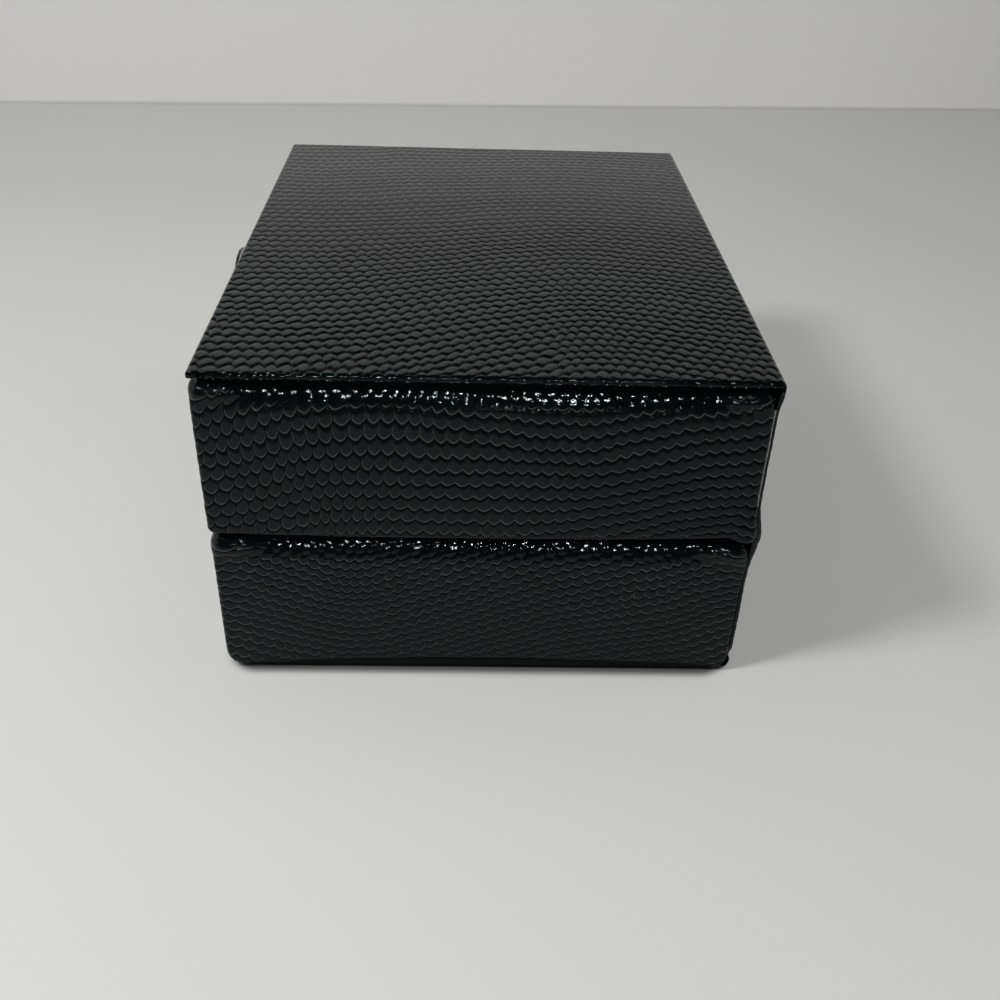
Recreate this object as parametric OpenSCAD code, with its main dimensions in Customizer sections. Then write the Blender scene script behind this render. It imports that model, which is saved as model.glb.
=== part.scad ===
// Ring display box: two leatherette-wrapped trays bound like a book, with a living hinge
// along the back, a velvet collar and ring rolls inside, and a magnetic closure tab.
// +Z is up, the closure tab faces -Y and the hinge runs along X at the back (+Y).

/* [Box] */
// Width of the lid over its covering, left to right
box_w = 78.4; // [64:0.1:110]
// Depth from the front of the lid to the outside of the spine
box_d = 60.3; // [50:0.1:90]
// Height from the table to the top of the cover
box_h = 39.5; // [36:0.1:60]
// Height of the split between base and lid, where the spine folds
split_h = 19.1; // [17:0.1:22]
// Open joint between the two rims
split_gap = 0.2; // [0.1:0.05:0.6]
// How far the base stands back from the lid on the front and sides
base_inset = 0.1; // [0:0.05:0.5]

/* [Covering] */
// Thickness of the leatherette
covering = 0.4; // [0.3:0.05:0.6]
// Width of leatherette turned in over the rim of the base
base_turn_in = 6; // [3:0.5:9]
// Width of leatherette turned in over the rim of the lid
lid_turn_in = 3.2; // [2.5:0.1:4]
// Width of leatherette turned flat under the base and over the lid
flat_turn_in = 8; // [5:0.5:12]
// Radius of the two front corners, seen from above
corner_r = 1.8; // [1.2:0.1:4]
// Radius of the two back corners, under the spine
back_corner_r = 0.8; // [0.6:0.1:1.2]
// Radius of the upper edge of the base
rim_r = 1.7; // [0.8:0.1:1.9]
// Radius of the upper edge of the lid
crown_r = 2.3; // [1:0.1:3]
// Radius of the lower edges of base and lid
lower_edge_r = 0.7; // [0.5:0.1:1.2]

/* [Base] */
// Wall of the base tray
base_wall = 1.6; // [1.4:0.1:2.4]
// Floor of the base tray
base_floor = 1.6; // [1.2:0.1:2.4]
// Thickness of the board under the base
bottom_board_t = 1; // [0.8:0.1:1.5]
// How far the bottom board stands back from the base on the front and sides
bottom_inset = 0.9; // [0.5:0.1:2]

/* [Lid] */
// Top wall of the lid shell
lid_top = 1.5; // [1:0.1:2]
// Thickness of the board under the top cover
top_board_t = 0.6; // [0.4:0.1:1.2]
// How far the top cover stands back from the lid on the front and sides
top_inset = 0.3; // [0.1:0.05:1]

/* [Collar and ring rolls] */
// Thickness of the collar card with its velvet
collar_t = 1.1; // [0.8:0.1:1.6]
// How far the collar stands above the split
collar_rise = 2.2; // [1.2:0.1:2.6]
// Clearance round the collar for the lid
collar_clearance = 0.45; // [0.4:0.05:0.6]
// Play of the collar in the base
collar_play = 0.05; // [0.02:0.01:0.1]
// Thickness of the board that carries the ring rolls
insert_board_t = 1; // [0.8:0.1:2]
// Height of the ring rolls over their velvet
roll_h = 11.6; // [9:0.1:12]
// Radius of the long upper edges of the ring rolls
roll_r = 8; // [5:0.5:8.5]
// Radius of the ends of the ring rolls
roll_end_r = 2; // [1:0.5:4]
// Width of the ring slot between the two rolls
ring_slot_w = 0.8; // [0.4:0.1:2]
// Thickness of the velvet on the rolls
velvet_t = 0.6; // [0.4:0.1:1]
// Play between the soft parts and what surrounds them
soft_play = 0.2; // [0.1:0.05:0.3]

/* [Lid lining] */
// Thickness of the satin-covered lining card in the lid
liner_t = 0.9; // [0.6:0.1:1.4]
// Thickness of the board behind the lid pad
pad_board_t = 1; // [0.6:0.1:1.5]
// Thickness of the lid pad below its board
pad_h = 3.8; // [2.5:0.1:5]
// Radius of the lower edges of the lid pad
pad_r = 3; // [1:0.5:3.5]
// Thickness of the satin over the pad
satin_t = 0.4; // [0.3:0.1:0.6]

/* [Hinge] */
// Thickness of the cloth hinge tape inside the back wall
tape_t = 0.25; // [0.2:0.05:0.3]
// Width of the hinge tape along the hinge
tape_w = 64; // [40:1:70]
// Height of the lower leaf of the hinge tape
tape_leaf = 7; // [4:0.5:10]
// Gap on each side of the fold between the two halves of a folding piece
fold_gap = 0.05; // [0.05:0.01:0.1]

/* [Closure tab] */
// Width of the closure tab
tab_w = 15; // [12:0.5:24]
// Thickness of the closure tab
tab_t = 1.5; // [1.4:0.1:2.4]
// Distance from the top of the box down to the top end of the tab
tab_drop = 2.1; // [1.5:0.1:4]
// Distance from the split down to the centre of the magnet and of the tab's round end
magnet_drop = 6.1; // [5.8:0.1:7]
// Height of the crease in the tab above the split
tab_crease_rise = 0.9; // [0.6:0.1:2]
// Gap on each side of the crease between the two halves of the tab
tab_crease_gap = 0.2; // [0.1:0.05:0.4]
// Thickness of the stiffening board in the tab
tab_board_t = 0.8; // [0.8:0.1:1.2]
// Width of the stitched margin round the stiffening board
tab_margin = 0.9; // [0.6:0.1:2]
// Diameter of the magnet in the tab
magnet_d = 9; // [6:0.5:10]
// Diameter of the steel keeper in the base
keeper_d = 8; // [5:0.5:8]
// Thickness of the steel keeper
keeper_t = 0.8; // [0.5:0.1:1]
// Radial play of the magnet and the keeper in their seats
disc_play = 0.05; // [0.02:0.01:0.1]

/* [Hidden] */
$fn = 64;

// Colours
leatherette = "#1d1f20";
greyboard = "#8f8a80";
moulded = "#2b2b2c";
velvet = "#cdbfa8";
foam = "#d9d2c0";
satin = "#e4dccb";
cloth = "#262626";
steel = "#b9bcc0";

// Overshoot of a cut past the face it opens
cut = 1;

// Ranges are [low, high] along an axis; a ring of walls is [x range, y range]
function inset(range, by) = [range[0] + by, range[1] - by];
function mirror_range(half) = [-half, half];

// Levels, from the table up
base_bottom = covering + bottom_board_t;
tray_bottom = base_bottom + covering;
floor_top = tray_bottom + base_floor;
base_rim = split_h - split_gap / 2;
tray_rim = base_rim - covering;
lid_rim = split_h + split_gap / 2;
shell_rim = lid_rim + covering;
lid_top_face = box_h - covering - top_board_t;
shell_top = lid_top_face - covering;
ceiling = shell_top - lid_top;
collar_top = split_h + collar_rise;
roll_bottom = floor_top + insert_board_t;
liner_bottom = lid_rim + lid_turn_in + soft_play;
pad_top = ceiling - pad_board_t;

// Faces of the outside
spine_out = box_d / 2;
spine_in = spine_out - covering;
lid_x = mirror_range(box_w / 2);
lid_y = [-box_d / 2, spine_in];
base_x = inset(lid_x, base_inset);
base_y = [lid_y[0] + base_inset, spine_in];

// Carcasses under the covering
shell_x = inset(lid_x, covering);
shell_y = inset(lid_y, covering);
tray_x = inset(base_x, covering);
tray_y = inset(base_y, covering);

// Insides of the base, from the wall inwards
tray_in_x = inset(tray_x, base_wall);
tray_in_y = inset(tray_y, base_wall);
base_lining_x = inset(tray_in_x, covering);
base_lining_y = inset(tray_in_y, covering);
collar_x = inset(base_lining_x, collar_play);
collar_y = [base_lining_y[0] + collar_play, base_lining_y[1] - tape_t - collar_play];
collar_in_x = inset(collar_x, collar_t);
collar_in_y = inset(collar_y, collar_t);

// Insides of the lid, set by the collar that it closes over
lid_lining_x = inset(collar_x, -collar_clearance);
lid_lining_y = [collar_y[0] - collar_clearance, collar_y[1] + collar_clearance + tape_t];
shell_in_x = inset(lid_lining_x, -covering);
shell_in_y = inset(lid_lining_y, -covering);
liner_in_x = inset(shell_in_x, liner_t);
liner_in_y = inset(shell_in_y, liner_t);

// The boards and pads inside
insert_x = inset(collar_in_x, soft_play);
insert_y = inset(collar_in_y, soft_play);
slot_y = (insert_y[0] + insert_y[1]) / 2;
pad_x = inset(liner_in_x, soft_play);
pad_y = inset(liner_in_y, soft_play);

// The bottom and top boards under the bound cover
bottom_cover_x = inset(base_x, bottom_inset);
bottom_cover_y = [base_y[0] + bottom_inset, spine_out];
bottom_board_x = inset(bottom_cover_x, covering);
bottom_board_y = [bottom_cover_y[0] + covering, spine_in];
top_cover_x = inset(lid_x, top_inset);
top_cover_y = [lid_y[0] + top_inset, spine_out];
top_board_x = inset(top_cover_x, covering);
top_board_y = [top_cover_y[0] + covering, spine_in];
spine_x = top_cover_x;

// The closure tab
tab_in = lid_y[0];
tab_out = tab_in - tab_t;
tab_ply = (tab_t - tab_board_t) / 2;
tab_crease = split_h + tab_crease_rise;
tab_head = box_h - tab_drop;
tab_r = tab_w / 2;
magnet_h = split_h - magnet_drop;
tab_foot = magnet_h - tab_r;

// Rectangle over two ranges with its four corners rounded; radii go round from low-low
module soft_rect(a, b, radii) {
    difference() {
        polygon([[a[0], b[0]], [a[1], b[0]], [a[1], b[1]], [a[0], b[1]]]);
        if (radii[0] > 0) translate([a[0], b[0]]) corner_cut(radii[0]);
        if (radii[1] > 0) translate([a[1], b[0]]) mirror([1, 0]) corner_cut(radii[1]);
        if (radii[2] > 0) translate([a[1], b[1]]) rotate(180) corner_cut(radii[2]);
        if (radii[3] > 0) translate([a[0], b[1]]) mirror([0, 1]) corner_cut(radii[3]);
    }
}

// What a rounded corner takes off a square one
module corner_cut(r) {
    difference() {
        translate([-cut, -cut]) square(r + cut);
        translate([r, r]) circle(r);
    }
}

// Upright prism over a rounded plan
module prism(x, y, z, radii = [0, 0, 0, 0]) {
    translate([0, 0, z[0]])
        linear_extrude(z[1] - z[0]) soft_rect(x, y, radii);
}

// Bar along X with a rounded section in Y and Z
module bar_x(x, y, z, radii) {
    translate([x[0], 0, 0]) rotate([90, 0, 90])
        linear_extrude(x[1] - x[0]) soft_rect(y, z, radii);
}

// Bar along Y with a rounded section in X and Z
module bar_y(x, y, z, radii) {
    translate([0, y[1], 0]) rotate([90, 0, 0])
        linear_extrude(y[1] - y[0]) soft_rect(x, z, radii);
}

// Block rounded in plan and on its upper and lower edges, but square along the back
module cased_block(x, y, z, plan_r, back_r, upper_r, lower_r) {
    intersection() {
        prism(x, y, z, [plan_r, plan_r, back_r, back_r]);
        bar_x(x, y, z, [lower_r, 0, 0, upper_r]);
        bar_y(x, y, z, [lower_r, lower_r, upper_r, upper_r]);
    }
}

// Disc with its axis along Y
module disc_y(d, y, z) {
    translate([0, y[1], z]) rotate([90, 0, 0]) cylinder(d = d, h = y[1] - y[0]);
}

// Sheet bound round three edges of a board, then folded at the back into half of the spine
module bound_cover(x, y, z, board_x, board_y, spine_z) {
    below = spine_z[1] > z[1];
    board_z = below ? [z[0] + covering, z[1]] : [z[0], z[1] - covering];
    difference() {
        bar_x(x, y, z, back_fold(z[1] - z[0], below));
        bar_x(board_x, board_y, board_z, back_fold(z[1] - z[0] - covering, below));
    }
    bar_x(spine_x, [spine_in, spine_out], spine_z, [0, 0, 0, 0]);
}

// Radii of a section in Y and Z that is rounded only where the sheet folds into the spine
function back_fold(r, below) = below ? [0, r, 0, 0] : [0, 0, r, 0];

// ---- Base ----

module cover_lower() {
    color(leatherette)
        bound_cover(bottom_cover_x, bottom_cover_y, [0, base_bottom], bottom_board_x, bottom_board_y,
            [base_bottom, split_h - fold_gap]);
}

module bottom_board() {
    color(greyboard)
        bar_x(bottom_board_x, bottom_board_y, [covering, base_bottom], back_fold(bottom_board_t, true));
}

module tray_block() {
    cased_block(tray_x, tray_y, [tray_bottom, tray_rim], corner_r - covering, back_corner_r - covering,
        rim_r - covering, lower_edge_r - covering);
}

module base_tray() {
    color(moulded) difference() {
        tray_block();
        prism(tray_in_x, tray_in_y, [floor_top, tray_rim + cut]);
        disc_y(keeper_d + 2 * disc_play, [tray_y[0] - cut, tray_y[0] + keeper_t], magnet_h);
    }
}

// Leatherette band: outside, over the rim, down inside and turned flat under the tray
module base_wrap() {
    turn_bottom = base_rim - base_turn_in;
    color(leatherette) difference() {
        cased_block(base_x, base_y, [base_bottom, base_rim], corner_r, back_corner_r, rim_r, lower_edge_r);
        difference() {
            tray_block();
            prism(tray_in_x, tray_in_y, [turn_bottom, tray_rim + cut]);
        }
        prism(base_lining_x, base_lining_y, [turn_bottom - cut, base_rim + cut]);
        prism(inset(tray_x, flat_turn_in), inset(tray_y, flat_turn_in), [base_bottom - cut, tray_bottom + cut]);
    }
}

module ring_collar() {
    color(velvet) difference() {
        prism(collar_x, collar_y, [floor_top, collar_top]);
        prism(collar_in_x, collar_in_y, [floor_top - cut, collar_top + cut]);
    }
}

module insert_board() {
    color(greyboard)
        prism(insert_x, insert_y, [floor_top, roll_bottom]);
}

// One ring roll, rounded along its length and at its ends
module roll(y, shrink) {
    x = inset(insert_x, shrink);
    deep = inset(y, shrink);
    z = [roll_bottom, roll_bottom + roll_h - shrink];
    long_r = roll_r - shrink;
    end_r = roll_end_r - shrink;
    intersection() {
        bar_x(x, deep, z, [0, 0, long_r, long_r]);
        bar_y(x, deep, z, [0, 0, end_r, end_r]);
    }
}

front_roll_y = [insert_y[0], slot_y - ring_slot_w / 2];
rear_roll_y = [slot_y + ring_slot_w / 2, insert_y[1]];

module roll_velvet(y) {
    color(velvet) difference() {
        roll(y, 0);
        roll(y, velvet_t);
    }
}

module roll_foam_front() { color(foam) roll(front_roll_y, velvet_t); }
module roll_foam_rear() { color(foam) roll(rear_roll_y, velvet_t); }
module roll_velvet_front() { roll_velvet(front_roll_y); }
module roll_velvet_rear() { roll_velvet(rear_roll_y); }

module hinge_tape_lower() {
    color(cloth)
        prism(mirror_range(tape_w / 2), [base_lining_y[1] - tape_t, base_lining_y[1]],
            [split_h - fold_gap - tape_leaf, split_h - fold_gap]);
}

module keeper_plate() {
    color(steel)
        disc_y(keeper_d, [tray_y[0], tray_y[0] + keeper_t], magnet_h);
}

// ---- Lid ----

module cover_upper() {
    color(leatherette)
        bound_cover(top_cover_x, top_cover_y, [lid_top_face, box_h], top_board_x, top_board_y,
            [split_h + fold_gap, lid_top_face]);
}

module top_board() {
    color(greyboard)
        bar_x(top_board_x, top_board_y, [lid_top_face, box_h - covering], back_fold(top_board_t, false));
}

module shell_block() {
    cased_block(shell_x, shell_y, [shell_rim, shell_top], corner_r - covering, back_corner_r - covering,
        crown_r - covering, lower_edge_r - covering);
}

module lid_shell() {
    color(moulded) difference() {
        shell_block();
        prism(shell_in_x, shell_in_y, [shell_rim - cut, ceiling]);
    }
}

// Leatherette band: outside, under the rim, up inside and turned flat over the top
module lid_wrap() {
    turn_top = lid_rim + lid_turn_in;
    color(leatherette) difference() {
        cased_block(lid_x, lid_y, [lid_rim, lid_top_face], corner_r, back_corner_r, crown_r, lower_edge_r);
        difference() {
            shell_block();
            prism(shell_in_x, shell_in_y, [shell_rim - cut, turn_top]);
        }
        prism(lid_lining_x, lid_lining_y, [lid_rim - cut, turn_top + cut]);
        prism(inset(shell_x, flat_turn_in), inset(shell_y, flat_turn_in), [shell_top - cut, lid_top_face + cut]);
    }
}

module lid_liner() {
    color(satin) difference() {
        prism(shell_in_x, shell_in_y, [liner_bottom, ceiling]);
        prism(liner_in_x, liner_in_y, [liner_bottom - cut, ceiling + cut]);
    }
}

module lid_pad_board() {
    color(greyboard)
        prism(pad_x, pad_y, [pad_top, ceiling]);
}

module pad(shrink) {
    x = inset(pad_x, shrink);
    y = inset(pad_y, shrink);
    z = [pad_top - pad_h + shrink, pad_top];
    r = pad_r - shrink;
    intersection() {
        prism(x, y, z, [r, r, r, r]);
        bar_x(x, y, z, [r, r, 0, 0]);
        bar_y(x, y, z, [r, r, 0, 0]);
    }
}

module lid_pad_foam() { color(foam) pad(satin_t); }

module lid_pad_satin() {
    color(satin) difference() {
        pad(0);
        pad(satin_t);
    }
}

module hinge_tape_upper() {
    color(cloth)
        prism(mirror_range(tape_w / 2), [lid_lining_y[1] - tape_t, lid_lining_y[1]],
            [split_h + fold_gap, lid_rim + lid_turn_in]);
}

// ---- Closure tab ----

// Round-ended tab outline between two heights, cut straight at the crease
module tab_outline(margin, low, high) {
    reach = tab_r - margin;
    intersection() {
        union() {
            for (z = [magnet_h, tab_head - tab_r]) translate([0, z]) circle(reach);
            translate([-reach, magnet_h]) square([2 * reach, tab_head - tab_r - magnet_h]);
        }
        translate([-tab_w, low]) square([2 * tab_w, high - low]);
    }
}

// Slice of the tab through its thickness
module tab_slice(margin, y, low, high) {
    translate([0, y[1], 0]) rotate([90, 0, 0])
        linear_extrude(y[1] - y[0]) tab_outline(margin, low, high);
}

upper_half = [tab_crease + tab_crease_gap, tab_head];
lower_half = [tab_foot, tab_crease - tab_crease_gap];
tab_board_y = [tab_out + tab_ply, tab_in - tab_ply];

module tab_board(half) {
    tab_slice(tab_margin, tab_board_y, half[0] + tab_margin, half[1] - tab_margin);
}

module tab_sleeve(half) {
    color(leatherette) difference() {
        tab_slice(0, [tab_out, tab_in], half[0], half[1]);
        tab_board(half);
    }
}

module tab_sleeve_upper() { tab_sleeve(upper_half); }
module tab_sleeve_lower() { tab_sleeve(lower_half); }
module tab_board_upper() { color(greyboard) tab_board(upper_half); }

module tab_board_lower() {
    color(greyboard) difference() {
        tab_board(lower_half);
        disc_y(magnet_d + 2 * disc_play, [tab_out, tab_in], magnet_h);
    }
}

module tab_magnet() {
    color(steel)
        disc_y(magnet_d, tab_board_y, magnet_h);
}

cover_lower();
bottom_board();
base_tray();
base_wrap();
ring_collar();
insert_board();
roll_foam_front();
roll_foam_rear();
roll_velvet_front();
roll_velvet_rear();
hinge_tape_lower();
keeper_plate();
cover_upper();
top_board();
lid_shell();
lid_wrap();
lid_liner();
lid_pad_board();
lid_pad_foam();
lid_pad_satin();
hinge_tape_upper();
tab_sleeve_upper();
tab_board_upper();
tab_sleeve_lower();
tab_board_lower();
tab_magnet();
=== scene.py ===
# %% [markdown]
# # A ring display box
# The box is two wrapped trays in a bound cover: one sheet goes under the bottom, up the back and
# over the top, and bends where the lid opens. Inside are a velvet collar, two ring rolls and a
# satin pad. The lesson dresses the fixed CAD frame piece by piece. Lengths are in millimetres
# until a mesh is made.

# %% Load the frame
import bpy, bmesh, math
import numpy as np
from mathutils import Matrix, Vector


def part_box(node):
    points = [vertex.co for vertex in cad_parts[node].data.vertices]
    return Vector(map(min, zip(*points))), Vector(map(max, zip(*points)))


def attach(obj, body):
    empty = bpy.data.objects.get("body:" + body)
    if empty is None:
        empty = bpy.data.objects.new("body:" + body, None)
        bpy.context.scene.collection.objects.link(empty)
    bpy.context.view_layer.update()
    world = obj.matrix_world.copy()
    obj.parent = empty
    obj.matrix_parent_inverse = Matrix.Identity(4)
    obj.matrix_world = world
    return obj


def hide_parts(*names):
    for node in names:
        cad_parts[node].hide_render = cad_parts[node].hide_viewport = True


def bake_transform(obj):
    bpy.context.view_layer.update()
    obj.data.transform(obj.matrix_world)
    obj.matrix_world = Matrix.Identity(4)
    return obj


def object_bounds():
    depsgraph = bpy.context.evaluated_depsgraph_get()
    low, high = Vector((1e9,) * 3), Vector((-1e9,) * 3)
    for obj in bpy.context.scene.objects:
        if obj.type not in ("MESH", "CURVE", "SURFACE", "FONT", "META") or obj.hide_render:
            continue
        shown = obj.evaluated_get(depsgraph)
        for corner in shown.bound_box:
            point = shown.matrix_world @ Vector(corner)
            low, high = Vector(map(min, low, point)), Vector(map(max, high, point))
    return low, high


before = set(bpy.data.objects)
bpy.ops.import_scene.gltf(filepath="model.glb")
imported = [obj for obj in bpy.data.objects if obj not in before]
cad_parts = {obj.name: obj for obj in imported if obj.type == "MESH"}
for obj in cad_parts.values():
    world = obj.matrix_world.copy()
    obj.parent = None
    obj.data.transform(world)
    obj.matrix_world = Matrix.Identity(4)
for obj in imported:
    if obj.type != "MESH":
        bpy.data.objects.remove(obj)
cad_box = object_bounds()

MM = 0.001
TOP = round(cad_box[1][2] / MM, 2)


def edges_of(node):
    """A CAD node's box in millimetres: its low and high edges along X, Y and Z."""
    return [(round(low / MM, 2), round(high / MM, 2)) for low, high in zip(*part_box(node))]


print("frame:", len(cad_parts), "nodes, box", [round(v, 4) for v in (*cad_box[0], *cad_box[1])])

# %% [markdown]
# ## Welding a mesh from arrays
# Every sheet here is a grid of points worked out with numpy. Corners of a folded sheet bring
# several grid points to one place, so the points are welded and the faces that vanish dropped.
# A closed shell with the wrong winding has a negative volume, and is turned round.

# %% Mesh maker
WELD = 1e-4


def volume(points, faces):
    """Signed volume in cubic millimetres, from fans over the faces."""
    total = 0.0
    quads = np.array([[*f, f[2]][:4] for f in faces if len(f) <= 4])
    for a, b, c in ((0, 1, 2), (0, 2, 3)):
        p, q, r = points[quads[:, a]], points[quads[:, b]], points[quads[:, c]]
        total += np.einsum("ij,ij->i", p, np.cross(q, r)).sum() / 6
    for f in faces:
        if len(f) > 4:
            fan = points[f]
            total += (np.cross(fan[1:-1], fan[2:]) @ fan[0]).sum() / 6
    return total


def make_piece(name, points, faces, grain=None, emboss=None, marks=None):
    """A smooth mesh object from points in millimetres. grain and emboss give each point its place in
    the emboss and how strong the emboss is there; marks is 1 on the faces that are cut edges."""
    points = np.asarray(points, float)
    key = np.round(points / WELD).astype(np.int64)
    _, first, inverse = np.unique(key, axis=0, return_index=True, return_inverse=True)
    inverse = inverse.ravel()
    kept, kept_marks = [], []
    for n, face in enumerate(faces):
        ring = inverse[face].tolist()
        ring = [v for v, after in zip(ring, ring[1:] + ring[:1]) if v != after]
        if len(ring) > 2:
            kept.append(ring)
            kept_marks.append(0.0 if marks is None else float(marks[n]))
    points = points[first]
    if volume(points, kept) < 0:
        kept = [f[::-1] for f in kept]
    mesh = bpy.data.meshes.new(name)
    mesh.from_pydata((points * MM).tolist(), [], kept)
    mesh.polygons.foreach_set("use_smooth", [True] * len(kept))
    if marks is not None:
        mesh.attributes.new("cut", "FLOAT", "FACE").data.foreach_set("value", kept_marks)
    if grain is not None:
        layer = mesh.attributes.new("grain", "FLOAT_VECTOR", "POINT")
        layer.data.foreach_set("vector", np.asarray(grain, np.float32)[first].ravel())
        layer = mesh.attributes.new("emboss", "FLOAT", "POINT")
        layer.data.foreach_set("value", np.asarray(emboss, np.float32)[first].ravel())
    mesh.update()
    thing = bpy.data.objects.new(name, mesh)
    bpy.context.scene.collection.objects.link(thing)
    return thing


def grid_faces(rows, columns, wrap_rows=False, wrap_columns=False, skip=None):
    """Quads of a rows by columns grid of points, numbered row by row."""
    r = np.arange(rows if wrap_rows else rows - 1)
    c = np.arange(columns if wrap_columns else columns - 1)
    r, c = (a.ravel() for a in np.meshgrid(r, c, indexing="ij"))
    if skip is not None:
        keep = ~skip(r, c)
        r, c = r[keep], c[keep]
    r2, c2 = (r + 1) % rows, (c + 1) % columns
    return np.stack([r * columns + c, r * columns + c2, r2 * columns + c2, r2 * columns + c], 1).tolist()


# %% [markdown]
# ## Paths
# A covering follows a path in section: up a wall, round an edge, over a board. Paths are lists of
# points made of straight runs and arcs, each left without its first point so that they join.

# %% Path helpers
HILLS = 64
SHIFT = 17.3, 9.1


def run(start, end, step):
    """Points of a straight run to end, about step apart."""
    count = max(1, round(math.dist(start, end) / step))
    start, end = np.array(start), np.array(end)
    return [tuple(start + (end - start) * k / count) for k in range(1, count + 1)]


def arc(centre, radii, start, end, count):
    """Points of an arc from the angle start to the angle end, in degrees."""
    angles = np.radians(np.linspace(start, end, count + 1)[1:])
    return [(centre[0] + radii[0] * math.cos(a), centre[1] + radii[1] * math.sin(a)) for a in angles]


def smooth(x, low, high):
    """0 at low, 1 at high and an even curve between; low may be the greater of the two."""
    f = np.clip((np.asarray(x, float) - low) / (high - low), 0, 1)
    return f * f * (3 - 2 * f)


def wander(a, b, size, seed):
    """A smooth field between -1 and 1 whose hills are about size across."""
    table = np.random.default_rng(seed).uniform(-1, 1, (HILLS, HILLS))
    p, q = np.asarray(a, float) / size + SHIFT[0], np.asarray(b, float) / size + SHIFT[1]
    i, j = np.floor(p).astype(int), np.floor(q).astype(int)
    f, g = p - i, q - j
    f, g = f * f * (3 - 2 * f), g * g * (3 - 2 * g)

    def between(n):
        return table[i % HILLS, n % HILLS] * (1 - f) + table[(i + 1) % HILLS, n % HILLS] * f

    return between(j) * (1 - g) + between(j + 1) * g


print("a quarter circle in three steps:", np.round(arc((0, 0), (1, 1), 0, 90, 3), 2).tolist())


# %% [markdown]
# ## The lizard emboss as a pair of coordinates
# The roller presses rows of small scales that drift and turn a little, as on the skin it copies.
# Each point of a covering gets two numbers: how many scales along the row it lies, and how many
# rows up. The relief is then one plain function of those two numbers, and the drift is all here.

# %% Grain coordinates
CELL = 1.46


def drifting_grain(along, across, turn, row, seed):
    """Scale and row numbers for a sheet. along and across are in mm, turn is the rows' slope in
    degrees and row their spacing, both given along the columns of the grid."""
    steps = np.diff(along, prepend=along[0])
    angle = np.radians(turn)
    climb = np.cumsum(np.tan(angle) * steps)
    length = np.cumsum(steps / np.cos(angle))
    across = across + 0.5 * wander(along, across, 9, seed) + 0.2 * wander(along, across, 3.1, seed + 1)
    over = across - climb
    lean = np.clip(across - across.mean(), -8, 8) * np.sin(angle)
    scale = (length + 0.4 * lean) / CELL
    scale = scale + 0.3 * wander(along, across, 7, seed + 2) + 0.16 * wander(along, across, 2.6, seed + 3)
    return scale, over * np.cos(angle) / row


print("scales are", CELL, "mm along a row")


# %% [markdown]
# ## The walls' coverings
# A tray is wrapped in one band that turns in over its rim and flat under its floor. In plan the
# band is a rounded rectangle, in section a closed path: out along the face and back along the
# glued side. Sweeping the section round the plan gives one closed skin of real thickness.

# %% Band round a tray
SIGNS = np.array([(1, 1), (1, -1), (-1, -1), (-1, 1)])
CORNERS = (0.4, 0.6, 0.6, 0.4)
STEP = 0.27


def round_plan(x, y, radii, step, turns):
    """Columns round a rectangle, from the middle of the back past +X, the front and -X. radii are
    its corners' radii in the order of SIGNS, and turns how many columns go round a corner. The back
    is under the spine, so its columns are three steps apart."""
    half = np.array([x[1] - x[0], y[1] - y[0]]) / 2
    middle = np.array([x[1] + x[0], y[1] + y[0]]) / 2
    columns = []
    for i in range(4):
        j, start = (i + 1) % 4, 90 - 90 * i
        columns += [(i, i, start - 90 * k / turns, 0.0) for k in range(1, turns + 1)]
        span = abs((SIGNS[i] - SIGNS[j]) @ half) - radii[i] - radii[j]
        at_back = i == 3
        count = round(span / (step * (3 if at_back else 1)))
        columns += [(i, j, start - 90, k / count) for k in range(1, count + 1)]
    columns = columns[-(count // 2):] + columns[:-(count // 2)]
    i, j, angle, share = (np.array(v) for v in zip(*columns))
    return {"half": half, "middle": middle, "radii": np.array(radii), "i": i.astype(int),
            "j": j.astype(int), "angle": np.radians(angle), "share": share}


def band_points(plan, inset, height, softer=0.0):
    """Points of the band; inset and height are rows by columns, softer is added to the radii."""
    def corner(n):
        radius = plan["radii"][n] + softer
        near, reach = np.maximum(inset, radius), np.maximum(radius - inset, 0)
        return [SIGNS[n][:, k] * (plan["half"][k] - near) + reach * turn(plan["angle"])
                for k, turn in ((0, np.cos), (1, np.sin))]

    first, second, share = corner(plan["i"]), corner(plan["j"]), plan["share"]
    flat = [a * (1 - share) + b * share + m for a, b, m in zip(first, second, plan["middle"])]
    return np.stack([*flat, height], -1)


lid_x, lid_y, lid_z = edges_of("lid_wrap")
base_x, base_y, base_z = edges_of("base_wrap")
lid_plan = round_plan(lid_x, lid_y, CORNERS, STEP, 8)
base_plan = round_plan(base_x, base_y, CORNERS, STEP, 8)
print("columns round the lid and the base:", len(lid_plan["i"]), len(base_plan["i"]))

# %% [markdown]
# ## Where the leatherette gives
# Glued round a tray the sheet isn't as true as the tray. It swells a little in the middle of each
# wall, stands fuller at the corners where it is pleated, and its free lower edge rises and falls.
# These are small smooth moves added to the section, by how near a column is to a corner.

# %% Band with its swell
def column_facts(plan):
    """Length along the outside, nearness to an upright corner, and the outside's x and y."""
    flat = np.zeros((1, len(plan["i"])))
    outside = band_points(plan, flat, flat)[0, :, :2]
    along = np.concatenate([[0], np.cumsum(np.linalg.norm(np.diff(outside, axis=0), axis=1))])
    corners = SIGNS * plan["half"] + plan["middle"]
    distance = np.min([np.linalg.norm(outside - c, axis=1) for c in corners], 0)
    return along, 1 - smooth(distance, 0.5, 8), outside


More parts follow.
